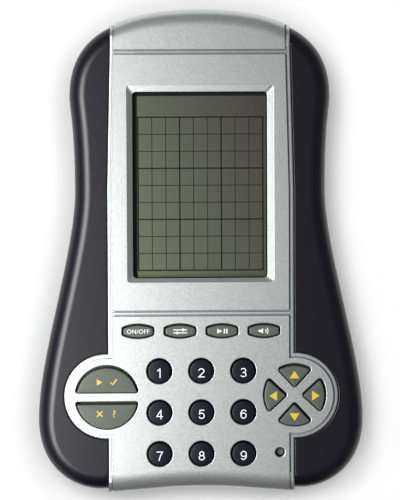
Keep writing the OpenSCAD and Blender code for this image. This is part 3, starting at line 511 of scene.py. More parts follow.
# Pink rubber with thin black conducting layers across it
zebra, tree, shader = new_material("Striped connector rubber")
place = add(tree, "ShaderNodeTexCoord")
layers = add(tree, "ShaderNodeTexWave", {"Vector": place.outputs["Object"], "Scale": 0.314 / (0.2 * MM)})
texture(tree, shader, layers.outputs["Fac"], "#1A1616", "#D39A92", 0.6, 0.8)
resurface("zebra_strip", zebra)
# Olive-grey film with a slight mottle under a satin face. Painted light and shade make it lighter and
# greener at the lower left, towards the lamp, and darker and browner at the upper right.
polariser, tree, shader = new_material("Polarising film", {"Specular IOR Level": 0.3})
place = add(tree, "ShaderNodeTexCoord")
split = add(tree, "ShaderNodeSeparateXYZ", {0: place.outputs["Object"]})
# Painted light and shade: the film grows darker from the lamp's side at the lower left to the upper right
across = add(tree, "ShaderNodeMapRange", {
    "Value": split.outputs["X"], "From Min": -20 * MM, "From Max": 20 * MM, "To Max": 0.65})
along = add(tree, "ShaderNodeMapRange", {
    "Value": split.outputs["Y"], "From Min": -8 * MM, "From Max": 48 * MM, "To Max": 0.35})
slant = add(tree, "ShaderNodeMath", {0: across.outputs[0], 1: along.outputs[0]}, operation="ADD")
mottle = add(tree, "ShaderNodeMath", {0: noise(tree, 0.9, 3.0), 1: 0.35, 2: -0.17}, operation="MULTIPLY_ADD")
painted_light_and_mottle = add(tree, "ShaderNodeMath", {
    0: slant.outputs[0], 1: mottle.outputs[0]}, operation="ADD", use_clamp=True)
texture(tree, shader, painted_light_and_mottle.outputs[0], "#646D56", "#403B36", 0.35, 0.45)
resurface("lcd_polariser", polariser)

# Segments: the same ruled net twice, once fine for the cells and once bold for the blocks
net_kinds = {
    "Count": "Int", "Pitch X": "Float", "Pitch Y": "Float", "Line": "Float", "Corner": "Vector",
    "Ink": "Material"}
tree, given = geometry_tree("Ruled net", net_kinds)
gaps = add(tree, "ShaderNodeMath", {0: given["Count"], 1: 1.0}, operation="SUBTRACT")
wide, tall = [
    add(tree, "ShaderNodeMath", {
        0: gaps.outputs[0], 1: given[pitch], 2: given["Line"]}, operation="MULTIPLY_ADD")
    for pitch in ("Pitch X", "Pitch Y")]
net = add(tree, "GeometryNodeJoinGeometry")
for pitch, axis, size in (
        ("Pitch X", 0, (given["Line"], tall.outputs[0])), ("Pitch Y", 1, (wide.outputs[0], given["Line"]))):
    step = add(tree, "ShaderNodeCombineXYZ", {axis: given[pitch]})
    line = add(tree, "GeometryNodeMeshLine", {"Count": given["Count"], "Offset": step.outputs[0]})
    bar_size = add(tree, "ShaderNodeCombineXYZ", {0: size[0], 1: size[1], 2: 0.01 * MM})
    bar = add(tree, "GeometryNodeMeshCube", {"Size": bar_size.outputs[0]})
    run = add(tree, "ShaderNodeMath", {0: size[1 - axis], 1: given["Line"]}, operation="SUBTRACT")
    centred = add(tree, "ShaderNodeMath", {0: run.outputs[0], 1: 0.5}, operation="MULTIPLY")
    shift = add(tree, "ShaderNodeCombineXYZ", {1 - axis: centred.outputs[0]})
    middled = add(tree, "GeometryNodeTransform", {
        "Geometry": bar.outputs[0], "Translation": shift.outputs[0]})
    bars = add(tree, "GeometryNodeInstanceOnPoints", {
        "Points": line.outputs[0], "Instance": middled.outputs[0]})
    tree.links.new(bars.outputs[0], net.inputs[0])
placed = add(tree, "GeometryNodeTransform", {"Geometry": net.outputs[0], "Translation": given["Corner"]})
close_tree(tree, placed.outputs[0], given["Ink"])
# Fine segments are half switched, so the film's olive shows through; bold ones are nearly black
cell_wide, cell_tall, net_x, net_y = 4.2, 5.155, -18.8, -5.75
for name, count, ratio, line, z, low_ink, high_ink in (
        ("cell_lines", 10, 1, 0.26, 20.706, "#1E201A", "#282A22"),
        ("block_lines", 4, 3, 0.42, 20.712, "#0A0B09", "#121310")):
    ink = grained(
        "Display segments " + name, {"Specular IOR Level": 0.2}, (0.7, 2.0), low_ink, high_ink, 0.4, 0.5)
    lines = piece(name, ([], []), ink)
    repeat(lines, tree, {
        "Count": count, "Pitch X": cell_wide * ratio * MM, "Pitch Y": cell_tall * ratio * MM,
        "Line": line * MM, "Corner": (net_x * MM, net_y * MM, z * MM), "Ink": ink})
    stand(lines, "housing", "polariser_film")


# Number keys: nine caps of black ABS, moulded with a lip that keeps each one behind the case and a slightly
# domed top. The white numbers are pad-printed on the finished caps.
def fan(x, y, first, last, steps=8):
    """Corner of a plan: one point with its outward normals between two angles."""
    angles = [math.radians(first + (last - first) * i / steps) for i in range(steps + 1)]
    return [(x, y, math.cos(a), math.sin(a)) for a in angles]


def bow(x, y, r, first, last, steps=24):
    """Bowed side of a plan: points on an arc with its outward normals, without the two ends."""
    turns = fan(x, y, first, last, steps)[1:-1]
    return [(x + r * nx, y + r * ny, nx, ny) for _, _, nx, ny in turns]


def grown(plan, by, place=(0, 0), turn=0, scale=1.0, about=(0, 0)):
    """Plan grown by a distance, scaled about a point, turned and set in its place."""
    c, s = math.cos(math.radians(turn)), math.sin(math.radians(turn))
    local = [(about[0] + scale * (x + by * nx - about[0]), about[1] + scale * (y + by * ny - about[1]))
             for x, y, nx, ny in plan]
    return [(place[0] + c * x - s * y, place[1] + s * x + c * y) for x, y in local]


def cap(name, plan, hole, place, edge, crown, top, material, turn=0, about=(0, 0)):
    """Key cap in a hole of a plan: lip, shank, rounded edge and domed top."""
    gap, lip, foot, lip_top = 0.5, 0.9, 19.9, 20.7
    rows = [level(grown(plan, hole + lip, place, turn), z) for z in (foot, lip_top)]
    rows.append(level(grown(plan, hole - gap, place, turn), lip_top))
    for by, z in quarter(hole - gap - edge, top - crown - edge, edge, 0, 90, 6):
        rows.append(level(grown(plan, by, place, turn), z))
    for k in range(1, 7):
        s = 1 - k / 7
        rows.append(level(grown(plan, hole - gap - edge, place, turn, s, about), top - crown * s * s))
    obj = piece(name, loft(rows), material)
    soften(obj, 40)
    return obj


def strip(points, width):
    """Flat band of one width along a line of points: points and faces."""
    sides = ([], [])
    for i, p in enumerate(points):
        along = Vector(points[min(i + 1, len(points) - 1)]) - Vector(points[max(i - 1, 0)])
        across = Vector((-along.y, along.x)).normalized() * width / 2
        sides[0].append((p[0] - across.x, p[1] - across.y))
        sides[1].append((p[0] + across.x, p[1] + across.y))
    n = len(points)
    return sides[0] + sides[1], [(i, i + 1, n + i + 1, n + i) for i in range(n - 1)]


def swing(x, y, across, along, first, last, steps=18):
    """Points of an oval arc between two angles."""
    angles = [math.radians(first + (last - first) * i / steps) for i in range(steps + 1)]
    return [(x + across * math.cos(a), y + along * math.sin(a)) for a in angles]


def drawn(strokes, width):
    """Flat figure of strokes that run into each other: points and faces."""
    forms = []
    for points in strokes:
        band = strip(points, width)[0]
        outline_band = band[:len(points)] + band[len(points):][::-1]
        forms.append(loft([level(outline_band, z) for z in (0, 1)]))
    figure = piece("figure", forms[0], white_ink)
    for form in forms[1:]:
        carve(figure, form, "UNION")
    top = [tuple(side.vertices) for side in figure.data.polygons if side.normal.z > 0.5]
    used = sorted({i for side in top for i in side})
    flat = [tuple(figure.data.vertices[i].co.xy / MM) for i in used]
    bpy.data.meshes.remove(figure.data)
    return flat, [tuple(used.index(i) for i in side) for side in top]


def lettering(text, height, weight):
    """Flat text in the built-in font, centred, with a height in mm and a weight: points and faces."""
    curve = bpy.data.curves.new("lettering", "FONT")
    curve.body, curve.offset, curve.resolution_u, curve.space_character = text, weight, 4, 1.08
    obj = bpy.data.objects.new("lettering", curve)
    bpy.context.scene.collection.objects.link(obj)
    graph = bpy.context.evaluated_depsgraph_get()
    mesh = bpy.data.meshes.new_from_object(obj.evaluated_get(graph))
    xs, ys = [v.co.x for v in mesh.vertices], [v.co.y for v in mesh.vertices]
    x0, y0 = (min(xs) + max(xs)) / 2, (min(ys) + max(ys)) / 2
    scale = height / (max(ys) - min(ys))
    points = [((v.co.x - x0) * scale, (v.co.y - y0) * scale) for v in mesh.vertices]
    faces = [tuple(p.vertices) for p in mesh.polygons]
    bpy.data.objects.remove(obj)
    bpy.data.curves.remove(curve)
    bpy.data.meshes.remove(mesh)
    return points, faces


def printed(name, flat, key, place, material):
    """Ink on a key: a flat shape, cut small to follow the dome, let down on it and given a thickness."""
    cell, lift, film = 0.35, 0.012, 0.03
    ink = piece(name, (level([(x + place[0], y + place[1]) for x, y in flat[0]], 0), flat[1]), material)
    work = bmesh.new()
    work.from_mesh(ink.data)
    bmesh.ops.triangulate(work, faces=work.faces)
    for axis in (0, 1):
        spots = [v.co[axis] for v in work.verts]
        for i in range(1, int((max(spots) - min(spots)) / (cell * MM)) + 1):
            cut, along = Vector((0, 0, 0)), Vector((0, 0, 0))
            cut[axis], along[axis] = min(spots) + i * cell * MM, 1
            every = work.verts[:] + work.edges[:] + work.faces[:]
            bmesh.ops.bisect_plane(work, geom=every, plane_co=cut, plane_no=along)
    under = BVHTree.FromPolygons([v.co for v in key.data.vertices], [p.vertices for p in key.data.polygons])
    for v in work.verts:
        v.co.z = under.ray_cast(Vector((v.co.x, v.co.y, 40 * MM)), Vector((0, 0, -1)))[0].z + lift * MM
    bmesh.ops.recalc_face_normals(work, faces=work.faces)
    for face in work.faces:
        if face.normal.z < 0:
            face.normal_flip()
    work.to_mesh(ink.data)
    work.free()
    depth = ink.modifiers.new("film", "SOLIDIFY")
    depth.thickness, depth.offset = film * MM, -1
    settle(ink)
    return ink


# Satin black like the case, with only half the depth of its grain
black_key = grained(
    "Black key ABS", {"Specular IOR Level": 0.28}, (0.3, 3.0), "#090917", "#10101F", 0.3, 0.38, 0.006)
# Opaque white ink, a touch uneven where the pad pressed
white_ink = grained("White pad-print ink", {}, (0.3, 2.0), "#E4E6E6", "#F6F7F7", 0.5, 0.6)
round_plan = fan(0, 0, 0, 360, 96)[:-1]
number_hole, key_top = 3.875, 25.2
# Strokes of the figures, 2.9 mm tall, which stand a little below the middle of their keys
stroke, figure_drop = 0.275, 0.45
figures = {
    1: [[(0.2, -1.45), (0.2, 1.45)], [(0.2, 1.28), (-0.12, 0.95), (-0.62, 0.68)]],
    2: [swing(0, 0.55, 0.78, 0.69, 172, -30) + [(-0.72, -1.16)], [(-0.98, -1.24), (0.98, -1.24)]],
    3: [swing(0, 0.63, 0.7, 0.61, 158, -90) + [(-0.25, 0.02)], swing(0, -0.6, 0.79, 0.64, 90, -160)],
    4: [[(0.4, 1.3), (-0.86, -0.55)], [(-1.0, -0.58), (1.0, -0.58)], [(0.42, -1.45), (0.42, 1.45)]],
    5: [[(-0.55, 1.24), (0.85, 1.24)], [(-0.42, 1.4), (-0.68, -0.05)], swing(0, -0.44, 0.8, 0.8, 150, -160)],
    6: [swing(0.08, 0, 0.87, 1.24, 38, 205)] + [swing(0, -0.46, 0.79, 0.78, a, a + 190) for a in (0, 180)],
    7: [[(-0.95, 1.24), (0.98, 1.24)], [(0.84, 1.24), (0.2, 0.1), (-0.28, -1.45)]],
    8: [swing(0, y, w, h, a, a + 190)
        for y, w, h in ((0.64, 0.63, 0.6), (-0.57, 0.79, 0.67)) for a in (0, 180)],
}
figures[9] = [[(-x, -y) for x, y in points] for points in figures[6]]
for n, place in enumerate(number_places, 1):
    key = cap(
        f"key_{n}_cap", round_plan, number_hole, place, edge=0.2, crown=0.12, top=key_top, material=black_key)
    stand(key, f"key_{n}", "black_key", f"key_{n}")
    spot = (place[0], place[1] - figure_drop)
    ink = printed(f"key_{n}_figure", drawn(figures[n], stroke), key, spot, white_ink)
    stand(ink, f"key_{n}", "black_key")


# Function keys: four barrel-shaped caps of grey ABS in a row under the display, printed white. The first
# switches the game on and off; the others carry signs for settings, play and sound.
# Grey-green satin with a fine grain
grey_key = grained(
    "Grey key ABS", {"Specular IOR Level": 0.45}, (0.3, 3.0), "#4A5048", "#555B52", 0.36, 0.46, 0.008)


def shape(*corners):
    """Flat polygon: points and faces."""
    return list(corners), [tuple(range(len(corners)))]


function_plan = (
    fan(4.2, -0.692, -67.56, 0) + fan(4.2, 0.692, 0, 67.56) + bow(0, -9.48, 11.005, 67.56, 112.44)
    + fan(-4.2, 0.692, 112.44, 180) + fan(-4.2, -0.692, 180, 247.56) + bow(0, 9.48, 11.005, 247.56, 292.44))
function_hole = 0.7
sliders = together(
    [strip([(x0, y), (x1, y)], wide) for x, y in ((-0.9, -0.45), (0.9, 0.45))
     for x0, x1, wide in ((-2.1, x - 0.3, 0.24), (x - 0.3, x + 0.3, 0.75), (x + 0.3, 2.1, 0.24))])
play_pause = together(
    [shape((-1.5, -0.7), (0.0, 0), (-1.5, 0.7))]
    + [strip([(x, -0.7), (x, 0.7)], 0.36) for x in (0.65, 1.4)])
horn = shape((-1.7, -0.28), (-1.15, -0.28), (-0.35, -0.75), (-0.35, 0.75), (-1.15, 0.28), (-1.7, 0.28))
waves = [strip(quarter(-0.2, 0, r, -42, 42, 8), 0.24) for r in (0.75, 1.35)]
signs = {
    "key_power": lettering("ON/OFF", 1.25, 0.0), "key_set": sliders, "key_mode": play_pause,
    "key_sound": together([horn] + waves)}
for place, (node, sign) in zip(function_places, signs.items()):
    key = cap(
        node + "_cap", function_plan, function_hole, place,
        edge=0.22, crown=0.1, top=key_top, material=grey_key)
    stand(key, node, "grey_key", node)
    stand(printed(node + "_sign", sign, key, place, white_ink), node, "grey_key")


# Half-moon keys: two caps of the same grey ABS in the round field at the left. The upper is for going
# on, the lower for going back, each with two yellow printed signs.
# Opaque yellow ink, slightly dulled by the grey beneath
yellow_ink = grained("Yellow pad-print ink", {}, (0.3, 2.0), "#BFA824", "#CFB932", 0.5, 0.6)
moon_place, moon_hole, moon_sag, moon_r, moon_edge = (-ear_x, ear_y - 0.2), 0.7, 0.28, 9.0, 2.05
moon_rest = (moon_place[0], moon_place[1] - moon_sag)
moon_start = math.degrees(math.asin(moon_edge / moon_r))
moon_x = math.sqrt(moon_r ** 2 - moon_edge ** 2)
moon_plan = (
    fan(moon_x, moon_edge, -90, moon_start) + bow(0, 0, moon_r, moon_start, 180 - moon_start, 48)
    + fan(-moon_x, moon_edge, 180 - moon_start, 270))
start_signs = together([
    shape((-3.0, -0.95), (-1.3, 0), (-3.0, 0.95)), strip([(1.1, -0.05), (1.75, -0.75), (3.05, 0.95)], 0.42)])
mark, mark_faces = lettering("?", 2.2, 0.014)
clear_signs = together([
    shape(*[(-2.2 + r * math.cos(math.radians(a)), r * math.sin(math.radians(a)))
            for q in (0, 90, 180, 270) for r, a in ((0.3, q), (1.2, q + 36), (1.2, q + 54))]),
    ([(x + 2.2, y) for x, y in mark], mark_faces)])
for node, turn, lift, sign in (("key_start", 0, 5.0, start_signs), ("key_clear", 180, -4.6, clear_signs)):
    key = cap(
        node + "_cap", moon_plan, moon_hole, moon_rest,
        edge=0.24, crown=0.1, top=key_top, material=grey_key, turn=turn, about=(0, 5.2))
    stand(key, node, "grey_key", node)
    spot = (moon_rest[0], moon_rest[1] + lift)
    stand(printed(node + "_sign", sign, key, spot, yellow_ink), node, "grey_key")


# Direction keys: four wedge caps of grey ABS in a ring in the right-hand field, each printed with a yellow
# triangle that points outwards. The reset button is a small round cap of the same grey, sunk behind its hole.
wedge_place, wedge_hole, wedge_r, wedge_tip, wedge_x = (ear_x - 0.3, ear_y + 0.2), 0.9, 8.65, 3.28, 4.02
wedge_left, wedge_sag = 0.12, 0.18
wedge_rest = (wedge_place[0] - wedge_left, wedge_place[1] - wedge_sag)
wedge_y = math.sqrt(wedge_r ** 2 - wedge_x ** 2)
slant, end_turn = [math.degrees(math.atan2(*r)) for r in ((wedge_x, wedge_y - wedge_tip), (wedge_y, wedge_x))]
wedge_plan = (
    fan(0, wedge_tip, 180 + slant, 360 - slant) + fan(wedge_x, wedge_y, -slant, end_turn)
    + bow(0, 0, wedge_r, end_turn, 180 - end_turn) + fan(-wedge_x, wedge_y, 180 - end_turn, 180 + slant))
for node, turn in (("key_up", 0), ("key_down", 180), ("key_left", 90), ("key_right", 270)):
    key = cap(
        node + "_cap", wedge_plan, wedge_hole, wedge_rest,
        edge=0.26, crown=0.1, top=key_top, material=grey_key, turn=turn, about=(0, 6.4))
    stand(key, node, "grey_key", node)
    c, s = math.cos(math.radians(turn)), math.sin(math.radians(turn))
    pointer = shape(*[(c * x - s * y, s * x + c * y) for x, y in ((-1.5, 5.3), (1.5, 5.3), (0, 7.6))])
    stand(printed(node + "_pointer", pointer, key, wedge_rest, yellow_ink), node, "grey_key")
reset_hole, reset_snug, reset_top = 1.45, 0.2, 22.4
reset = cap(
    "reset_cap", round_plan, reset_hole + reset_snug, reset_place,
    edge=0.3, crown=0.1, top=reset_top, material=grey_key)
stand(reset, "reset_button", "grey_key", "reset_button")


# Front case: black ABS like the back, moulded as two grips joined by a floor that lies under the face panel.
# The floor has the key holes, a large opening for the display and posts for the screws.
# Height by which a cutter stands clear of the face that it opens
hair = 0.002


def panel_plan(by):
    """Plan of the face panel grown by a distance: long sides that taper to the display end, and two ears."""
    side, end, ear, waist_y, head_y, past = 28.2 + by, 26.9 + by, 13.0 + by, 18.7, 72.5, 76
    start = math.degrees(math.acos((side - ear_x) / ear))
    right = [(side, -past), (side, ear_y - ear * math.sin(math.radians(start)))]
    right += [(x, y) for x, y, _, _ in bow(ear_x, ear_y, ear, -start, start, 144)]
    right += [(side, ear_y + ear * math.sin(math.radians(start)))]
    right += [(side, waist_y), (end, head_y), (end, past)]
    return right + [(-x, y) for x, y in right[::-1]]


def key_holes(low, face, flare):
    """Cutters for every key hole, from a height up to a face where they widen by a rounded edge."""
    holes = [(round_plan, number_hole, place, 0) for place in number_places]
    holes += [(round_plan, reset_hole, reset_place, 0)]
    holes += [(function_plan, function_hole, place, 0) for place in function_places]
    holes += [(moon_plan, moon_hole, moon_place, turn) for turn in (0, 180)]
    holes += [(wedge_plan, wedge_hole, wedge_place, turn) for turn in (0, 90, 180, 270)]
    rows = [(0, low)] + quarter(flare, face + hair - flare, flare, 180, 90, 6) + [(flare, face + 1)]
    return together([
        loft([level(grown(plan, hole + by, place, turn), z) for by, z in rows])
        for plan, hole, place, turn in holes])


grip_top, front_r, case_t, floor_low, floor_high = 23.6, 5.0, 2.2, 20.8, 22.4
rim = [(case_t, joint_z), (joint_edge, joint_z), (0, joint_z + joint_drop)]
case = piece("front_case_moulding", raised(
    drawn_in, quarter(front_r, grip_top - front_r, front_r - case_t, 90, 180) + rim
    + quarter(front_r, grip_top - front_r, front_r, 180, 90, 14)), black_abs)
# Room for the panel, with a gap round it and a rounded edge along the grips
panel_gap, gap_r, gap_mouth = 0.15, 0.3, 0.45
gap_rows = [(panel_gap, 8)] + quarter(gap_mouth, grip_top + hair - gap_r, gap_r, 180, 90, 6)
gap_rows += [(gap_mouth, 26)]
carve(case, raised(panel_plan, gap_rows))
# The floor, which reaches a little under the grips and stops short of both ends
floor_lap, floor_inset = 2.5, 5.15
deck = piece("deck", raised(panel_plan, [(floor_lap, floor_low), (floor_lap, floor_high)]), black_abs)
carve(deck, raised(drawn_in, [(floor_inset, 20), (floor_inset, 23)]), "INTERSECT")
carve(case, taken(deck), "UNION")
board_screws = [(s * x, y) for s in (-1, 1) for x, y in ((17.5, 56.75), (29.0, -20.0), (29.0, -62.5))]
case_post_r, board_post_r, post_top, case_bore_r, board_bore_r = 3, 2.4, 21.6, 1.35, 1.05
carve(case, together(
    [post(x, y, case_post_r, joint_z, post_top) for x, y in screw_places]
    + [post(x, y, board_post_r, board_top, post_top) for x, y in board_screws]), "UNION")
floor_edge, display_hole = 0.05, (-22.7, 22.7, -10.35, 51.15)
carve(case, together([key_holes(floor_low - 1, floor_high, floor_edge), block(*display_hole, 20, 23)]))
carve(case, together(
    [post(x, y, case_bore_r, 10, 20.1) for x, y in screw_places]
    + [post(x, y, board_bore_r, 16, 20.8) for x, y in board_screws]))
soften(case)
stand(case, "housing", "black_abs", "front_case")


# Face panel: ABS moulding sprayed with silver metallic paint, dropped between the grips and glued to the
# floor. Its ends roll down over the body; a sloping bezel, the key holes and fine groove lines are moulded
# into it.
face, panel_t, edge_r, hole_r, groove, lip, border, border_drop = 24.0, 1.6, 0.5, 0.3, 0.45, 0.12, 0.85, 0.3
# Silver with aluminium flakes: bright towards the light and grey away from it, with a fine sparkle and
# orange peel
silver, tree, shader = new_material("Silver metallic paint", {"Metallic": 0.85})
place = add(tree, "ShaderNodeTexCoord")
flakes = add(tree, "ShaderNodeTexVoronoi", {"Vector": place.outputs["Object"], "Scale": 1 / (0.12 * MM)})
tone = add(tree, "ShaderNodeSeparateColor", {0: flakes.outputs["Color"]})
texture(tree, shader, tone.outputs[0], "#BAC0BF", "#D5DAD8", 0.33, 0.43)
peel = add(tree, "ShaderNodeBump", {"Height": noise(tree, 0.8, 2.0), "Distance": 0.003 * MM})
tree.links.new(peel.outputs[0], shader.inputs["Normal"])
# Roll of the key end, and how far each end stands out in the middle and bows over half the panel's width
key_roll, key_flat = 6.0, 0.7
display_out, display_bow, key_out, key_bow, half_width = 0.7, 0.3, 0.75, 0.35, 28


def rolled(inset, y):
    """Height of the panel's outside: a round roll at the display end, a flatter one at the key end."""
    across, down = (front_r, front_r) if y > 0 else (key_roll, key_flat * key_roll)
    return face - down * (1 - math.sqrt(1 - max(1 - inset / across, 0) ** 2))


def overhung(inset, height):
    """Row of the panel's moulding, whose ends stand a little out over the body; its height may go by y."""
    row = []
    for x, y in drawn_in(inset):
        bowed = (x / half_width) ** 2
        out = display_out - display_bow * bowed if y > 0 else -key_out - key_bow * bowed
        row.append((x, y + out, height(y)))
    return row


panel_edge = 0.2
insets = [key_roll * (1 - math.cos(math.radians(a))) for a in range(0, 91, 6)]
inner = quarter(front_r, face - front_r, front_r - panel_t, 90, 180)
inner += [(panel_t, joint_z), (panel_edge, joint_z), (0, joint_z + panel_edge)]
panel = piece("face_panel_moulding", loft(
    [overhung(inset, lambda y, z=z: z) for inset, z in inner]
    + [overhung(inset, lambda y, inset=inset: rolled(inset, y)) for inset in insets]), silver)
border_top, border_in = face - border_drop, -border - groove / 2
edge_rows = [(0, 8)] + quarter(-edge_r, border_top - edge_r, edge_r, 0, 90, 8)
edge_rows += [(border_in, border_top), (border_in, 26)]
carve(panel, raised(panel_plan, edge_rows), "INTERSECT")


def opening(left, right, low, high, corner, z, rise_low=0.0, rise_high=0.0):
    """Row of a rounded square opening round the display, which may rise along its lower and upper sides."""
    plan = []
    for x, y, first in ((right - corner, low + corner, -90), (right - corner, high - corner, 0),
                        (left + corner, high - corner, 90), (left + corner, low + corner, 180)):
        plan += fan(x, y, first, first + 90, 6)
    rises = [(rise_high if ny > 0 else rise_low) * ny ** 2 for _, _, _, ny in plan]
    return [(x, y, z + rise) for (x, y), rise in zip(grown(plan, corner), rises)]


# Bezel: straight up round the window, a slope that starts higher along its two ends, and a rounded brink
window, window_corner = (-20.5, 20.25, -8.05, 48.3), 1.1
bezel_rows = [opening(*window, window_corner, 21), opening(*window, window_corner, 22.65, 0.3, 0.75)]
for by, corner, z in ((0, 0.9, 23.85), (0.08, 1.0, 23.96), (0.2, 1.1, face + hair), (0.2, 1.1, 25)):
    bezel_rows.append(opening(-22.1 - by, 22.1 + by, -9.2 - by, 50.2 + by, corner, z))
carve(panel, loft(bezel_rows))
carve(panel, key_holes(21, face, hole_r))


def field(low, high):
    """Plan of a band across the panel."""
    return [(-60, low), (60, low), (60, high), (-60, high)]


# Darker grey, painted as the shade at the foot of a groove
painted_groove_shade = grained("Oversprayed ABS", {"Metallic": 0.7}, (0.3, 3.0), "#858A8D", "#9DA2A4", 0.45, 0.6)
# Groove lines: one round each field of the panel, shallow over the rolled ends and deepest across the face.
# Right of x = -20 mm the lines are wider and deeper and take this painted shade; at the left they keep
# the silver and are the shallower.
end_depth, cross_depth, cross_x, cross_side = 0.35, 0.85, 26, 0.02
lips = [(0, 6), (0, face + hair - lip), (lip, face + hair), (lip, 28)]
fields, painted_shade_from_x = ((-80, -19.025), (-18.265, 59.895), (60.445, 80)), -20
for x0, x1, paint, depth, wide in (
        (-60, painted_shade_from_x, silver, 0.5, groove), (painted_shade_from_x, 60, painted_groove_shade, 0.8, 0.62)):
    core = loft(
        [overhung(end_depth, lambda y: 5)]
        + [overhung(inset + end_depth, lambda y, inset=inset: rolled(inset, y) - end_depth)
           for inset in insets]
        + [overhung(key_roll + 2 * end_depth, lambda y: face - depth)])
    for low, high in fields:
        line = piece("line", raised(lambda by: panel_plan(-border + by), lips), silver)
        carve(line, raised(lambda by: field(low - by, high + by), lips), "INTERSECT")
        inside = piece("inside", raised(lambda by: panel_plan(-border - wide - by), lips), silver)
        carve(inside, raised(lambda by: field(low + groove + by, high - groove - by), lips), "INTERSECT")
        carve(line, taken(inside))
        carve(line, core)
        carve(line, block(x0, x1, -90, 90, 4, 30), "INTERSECT")
        carve(panel, taken(line), material=paint)
# The cross grooves take the painted shade too
across = [y for low, high in fields for y in (low, high - groove) if abs(y) < 70]
carve(panel, together([
    block(-cross_x, cross_x, y + cross_side, y + groove - cross_side, face - cross_depth, face)
    for y in across]), material=painted_groove_shade)
soften(panel)
stand(panel, "housing", "silver_paint", "face_panel")


# Window: clear acrylic sheet, cut to size and glued behind the bezel over the display. Under it a black
# frame, wide at the left and top and narrow at the right and bottom, is painted shade round the display.
# Almost invisible from above, with a thin glare and hairline scratches
acrylic = grained(
    "Clear acrylic", {"Alpha": 0.08, "IOR": 1.49}, (0.4, 4.0, (0.05, 1, 1)), "#20241F", "#2C302B", 0.03, 0.1)
resurface("window_lens", acrylic)
# Dull black for the painted shade
painted_shade_black = grained("Black foam", {"Specular IOR Level": 0.2}, (0.35, 3.0), "#0A0A0C", "#151518", 0.85, 0.95, 0.03)
painted_shade_outside, painted_shade_inside = (-22.3, 22.3, -9.9, 50.7), (-19.15, 19.95, -7.85, 47.05)
painted_shade_low, painted_shade_high = 20.74, 20.88
# Painted shade: a black frame inside the window, broadest at the left and top
painted_shade_frame = piece("window_gasket", block(*painted_shade_outside, painted_shade_low, painted_shade_high), painted_shade_black)
carve(painted_shade_frame, block(*painted_shade_inside, 20, 22))
stand(painted_shade_frame, "housing", "black_abs")


# Case screws: six zinc-plated self-tapping screws with pan heads and cross recesses, driven from the back
# through the wells into the posts of the front case.
head_r, shank_r, length = 2.4, 1.3, 10.0
head_rows = ((0.55, -1.7), (0.8, -1.5), (0.96, -1.0), (1, -0.5), (1, 0))
turned = [(head_r * share, z) for share, z in head_rows]
turned += [(shank_r, 0), (shank_r, length - 1.6), (shank_r * 0.3, length)]
screw = piece("screw", loft([level(ring(0, 0, r, 32), z) for r, z in turned]), zinc)
for across, along in ((0.3, 1.15), (1.15, 0.3)):
    wide = [(-across, -along), (across, -along), (across, along), (-across, along)]
    carve(screw, loft([level(wide, -2.2), level([(x * 0.55, y * 0.55) for x, y in wide], -0.7)]))
soften(screw, 40)
tree, given = geometry_tree("Driven screws", {"Screw": "Object", "Seed": "Int"})
source = add(tree, "GeometryNodeObjectInfo", {"Object": given["Screw"]})
angle = add(tree, "FunctionNodeRandomValue", {2: 0.0, 3: 6.28, "Seed": given["Seed"]})
spin = add(tree, "ShaderNodeCombineXYZ", {2: angle.outputs[1]})
driven = add(tree, "GeometryNodeInstanceOnPoints", {
    "Points": given["Geometry"], "Instance": source.outputs["Geometry"], "Rotation": spin.outputs[0]})
close_tree(tree, driven.outputs[0], zinc)
case_screws = piece("pan_head_screws", (level(screw_places, screw_seat), []), zinc)
repeat(case_screws, tree, {"Screw": screw, "Seed": 4})
bpy.data.meshes.remove(screw.data)
stand(case_screws, "housing", "zinc_steel", "case_screws")


# Battery door: a flat black ABS cover that hooks in by two tongues and snaps shut at a sprung finger. Its
# edges are broken, and a row of grooves gives the thumb a hold.
door = piece("battery_door_moulding", welded("battery_door"), black_abs)
broken = door.modifiers.new("broken", "BEVEL")
broken.width, broken.segments = 0.2 * MM, 3
broken.limit_method, broken.angle_limit = "ANGLE", math.radians(30)
settle(door)
groove_kinds = {"Count": "Int", "Pitch": "Float", "Bar": "Vector", "First": "Vector"}
tree, given = geometry_tree("Thumb grooves", groove_kinds)
step = add(tree, "ShaderNodeCombineXYZ", {1: given["Pitch"]})
spots = add(tree, "GeometryNodeMeshLine", {
    "Count": given["Count"], "Start Location": given["First"], "Offset": step.outputs[0]})
bar = add(tree, "GeometryNodeMeshCube", {"Size": given["Bar"]})
bars = add(tree, "GeometryNodeInstanceOnPoints", {"Points": spots.outputs[0], "Instance": bar.outputs[0]})
close_tree(tree, bars.outputs[0], black_abs)
grooves = piece("thumb_grooves", ([], []), black_abs)
repeat(grooves, tree, {
    "Count": 5, "Pitch": 1.5 * MM, "Bar": (9 * MM, 0.7 * MM, 0.8 * MM), "First": (0, 12.6 * MM, 0)})
carve(door, taken(grooves))
soften(door, 40)
stand(door, "battery_door", "black_abs", "battery_door")


# Setting: the game lies on a white sheet under one soft lamp at its left and an even sky, seen from almost
# straight above as through a long lens. Four wide lamps light the sheet alone, so that it is white round the
# shadow, and a charcoal card darkens the reflection in the key end.
# White paper that stays white to the eye and still takes the shadow
paper = grained("White paper", {"Specular IOR Level": 0.1}, (30.0, 2.0), "#F6F6F6", "#FAFAFA", 0.85, 0.95)
half_sheet, sheet_z = 2000, -0.05
sheet_plan = [(half_sheet * x, half_sheet * y) for x, y in ((-1, -1), (1, -1), (1, 1), (-1, 1))]
sheet = piece("sheet", (level(sheet_plan, sheet_z), [(0, 1, 2, 3)]), paper)
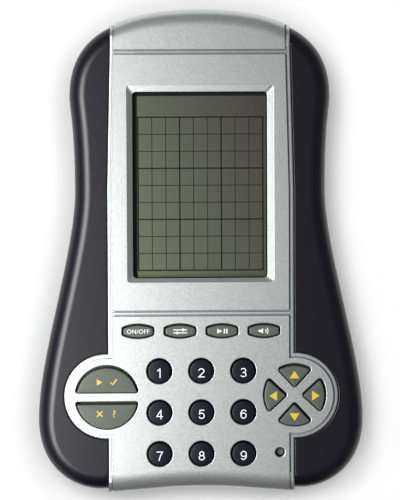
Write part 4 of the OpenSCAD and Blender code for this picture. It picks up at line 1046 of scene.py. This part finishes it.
# Matt charcoal card past the key end, out of view, which the rolled end mirrors as a dark band
charcoal = grained("Charcoal card", {"Specular IOR Level": 0.1}, (8.0, 2.0), "#28282A", "#303032", 0.85, 0.95)
half_card, card_rows = 95, [(-112, 0.5), (-200, 0.5), (-200, 260)]
card_points = [(x, y, z) for y, z in card_rows for x in (-half_card, half_card)]
card = piece("card", (card_points, [(0, 1, 3, 2), (2, 3, 5, 4)]), charcoal)
card.visible_camera = card.visible_diffuse = card.visible_shadow = False
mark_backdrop(sheet, card)

world = bpy.data.worlds.new("Sky")
bpy.context.scene.world = world
world.use_nodes = True
world.node_tree.nodes["Background"].inputs["Color"].default_value = (1, 1, 1, 1)
world.node_tree.nodes["Background"].inputs["Strength"].default_value = 0.17


def soft_lamp(name, place, wide, tall, watts, lit):
    """Soft lamp that is turned to the game and lights only some objects."""
    data = bpy.data.lights.new(name, "AREA")
    data.shape, data.size, data.size_y, data.energy = "RECTANGLE", wide, tall, watts
    obj = bpy.data.objects.new(name, data)
    bpy.context.scene.collection.objects.link(obj)
    obj.location = place
    obj.rotation_euler = (Vector((0, 0, 0.02)) - obj.location).to_track_quat("-Z", "Y").to_euler()
    obj.visible_camera = False
    obj.light_linking.receiver_collection = bpy.data.collections.new("Lit by " + name)
    for receiver in lit:
        obj.light_linking.receiver_collection.objects.link(receiver)


soft_lamp("left lamp", (-0.155, -0.022, 0.265), 0.26, 0.1, 1.5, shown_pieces())
for x, y, watts in ((-0.18, 0.18, 3.9), (0.18, 0.18, 2.0), (-0.18, -0.18, 1.25), (0.18, -0.18, 0.8)):
    soft_lamp(f"sheet lamp {watts} W", (x, y, 0.85), 0.32, 0.32, watts, [sheet])
camera_data = bpy.data.cameras.new("Camera")
camera_data.sensor_width, camera_data.lens = 36, 146.8
camera = bpy.data.objects.new("Camera", camera_data)
bpy.context.scene.collection.objects.link(camera)
camera.location = (-0.0146, 0.0270, 0.639)
camera.rotation_euler = [math.radians(a) for a in (-2.46, -1.35, -0.26)]
bpy.context.scene.camera = camera
bpy.context.scene.view_settings.view_transform = "Standard"

low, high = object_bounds()
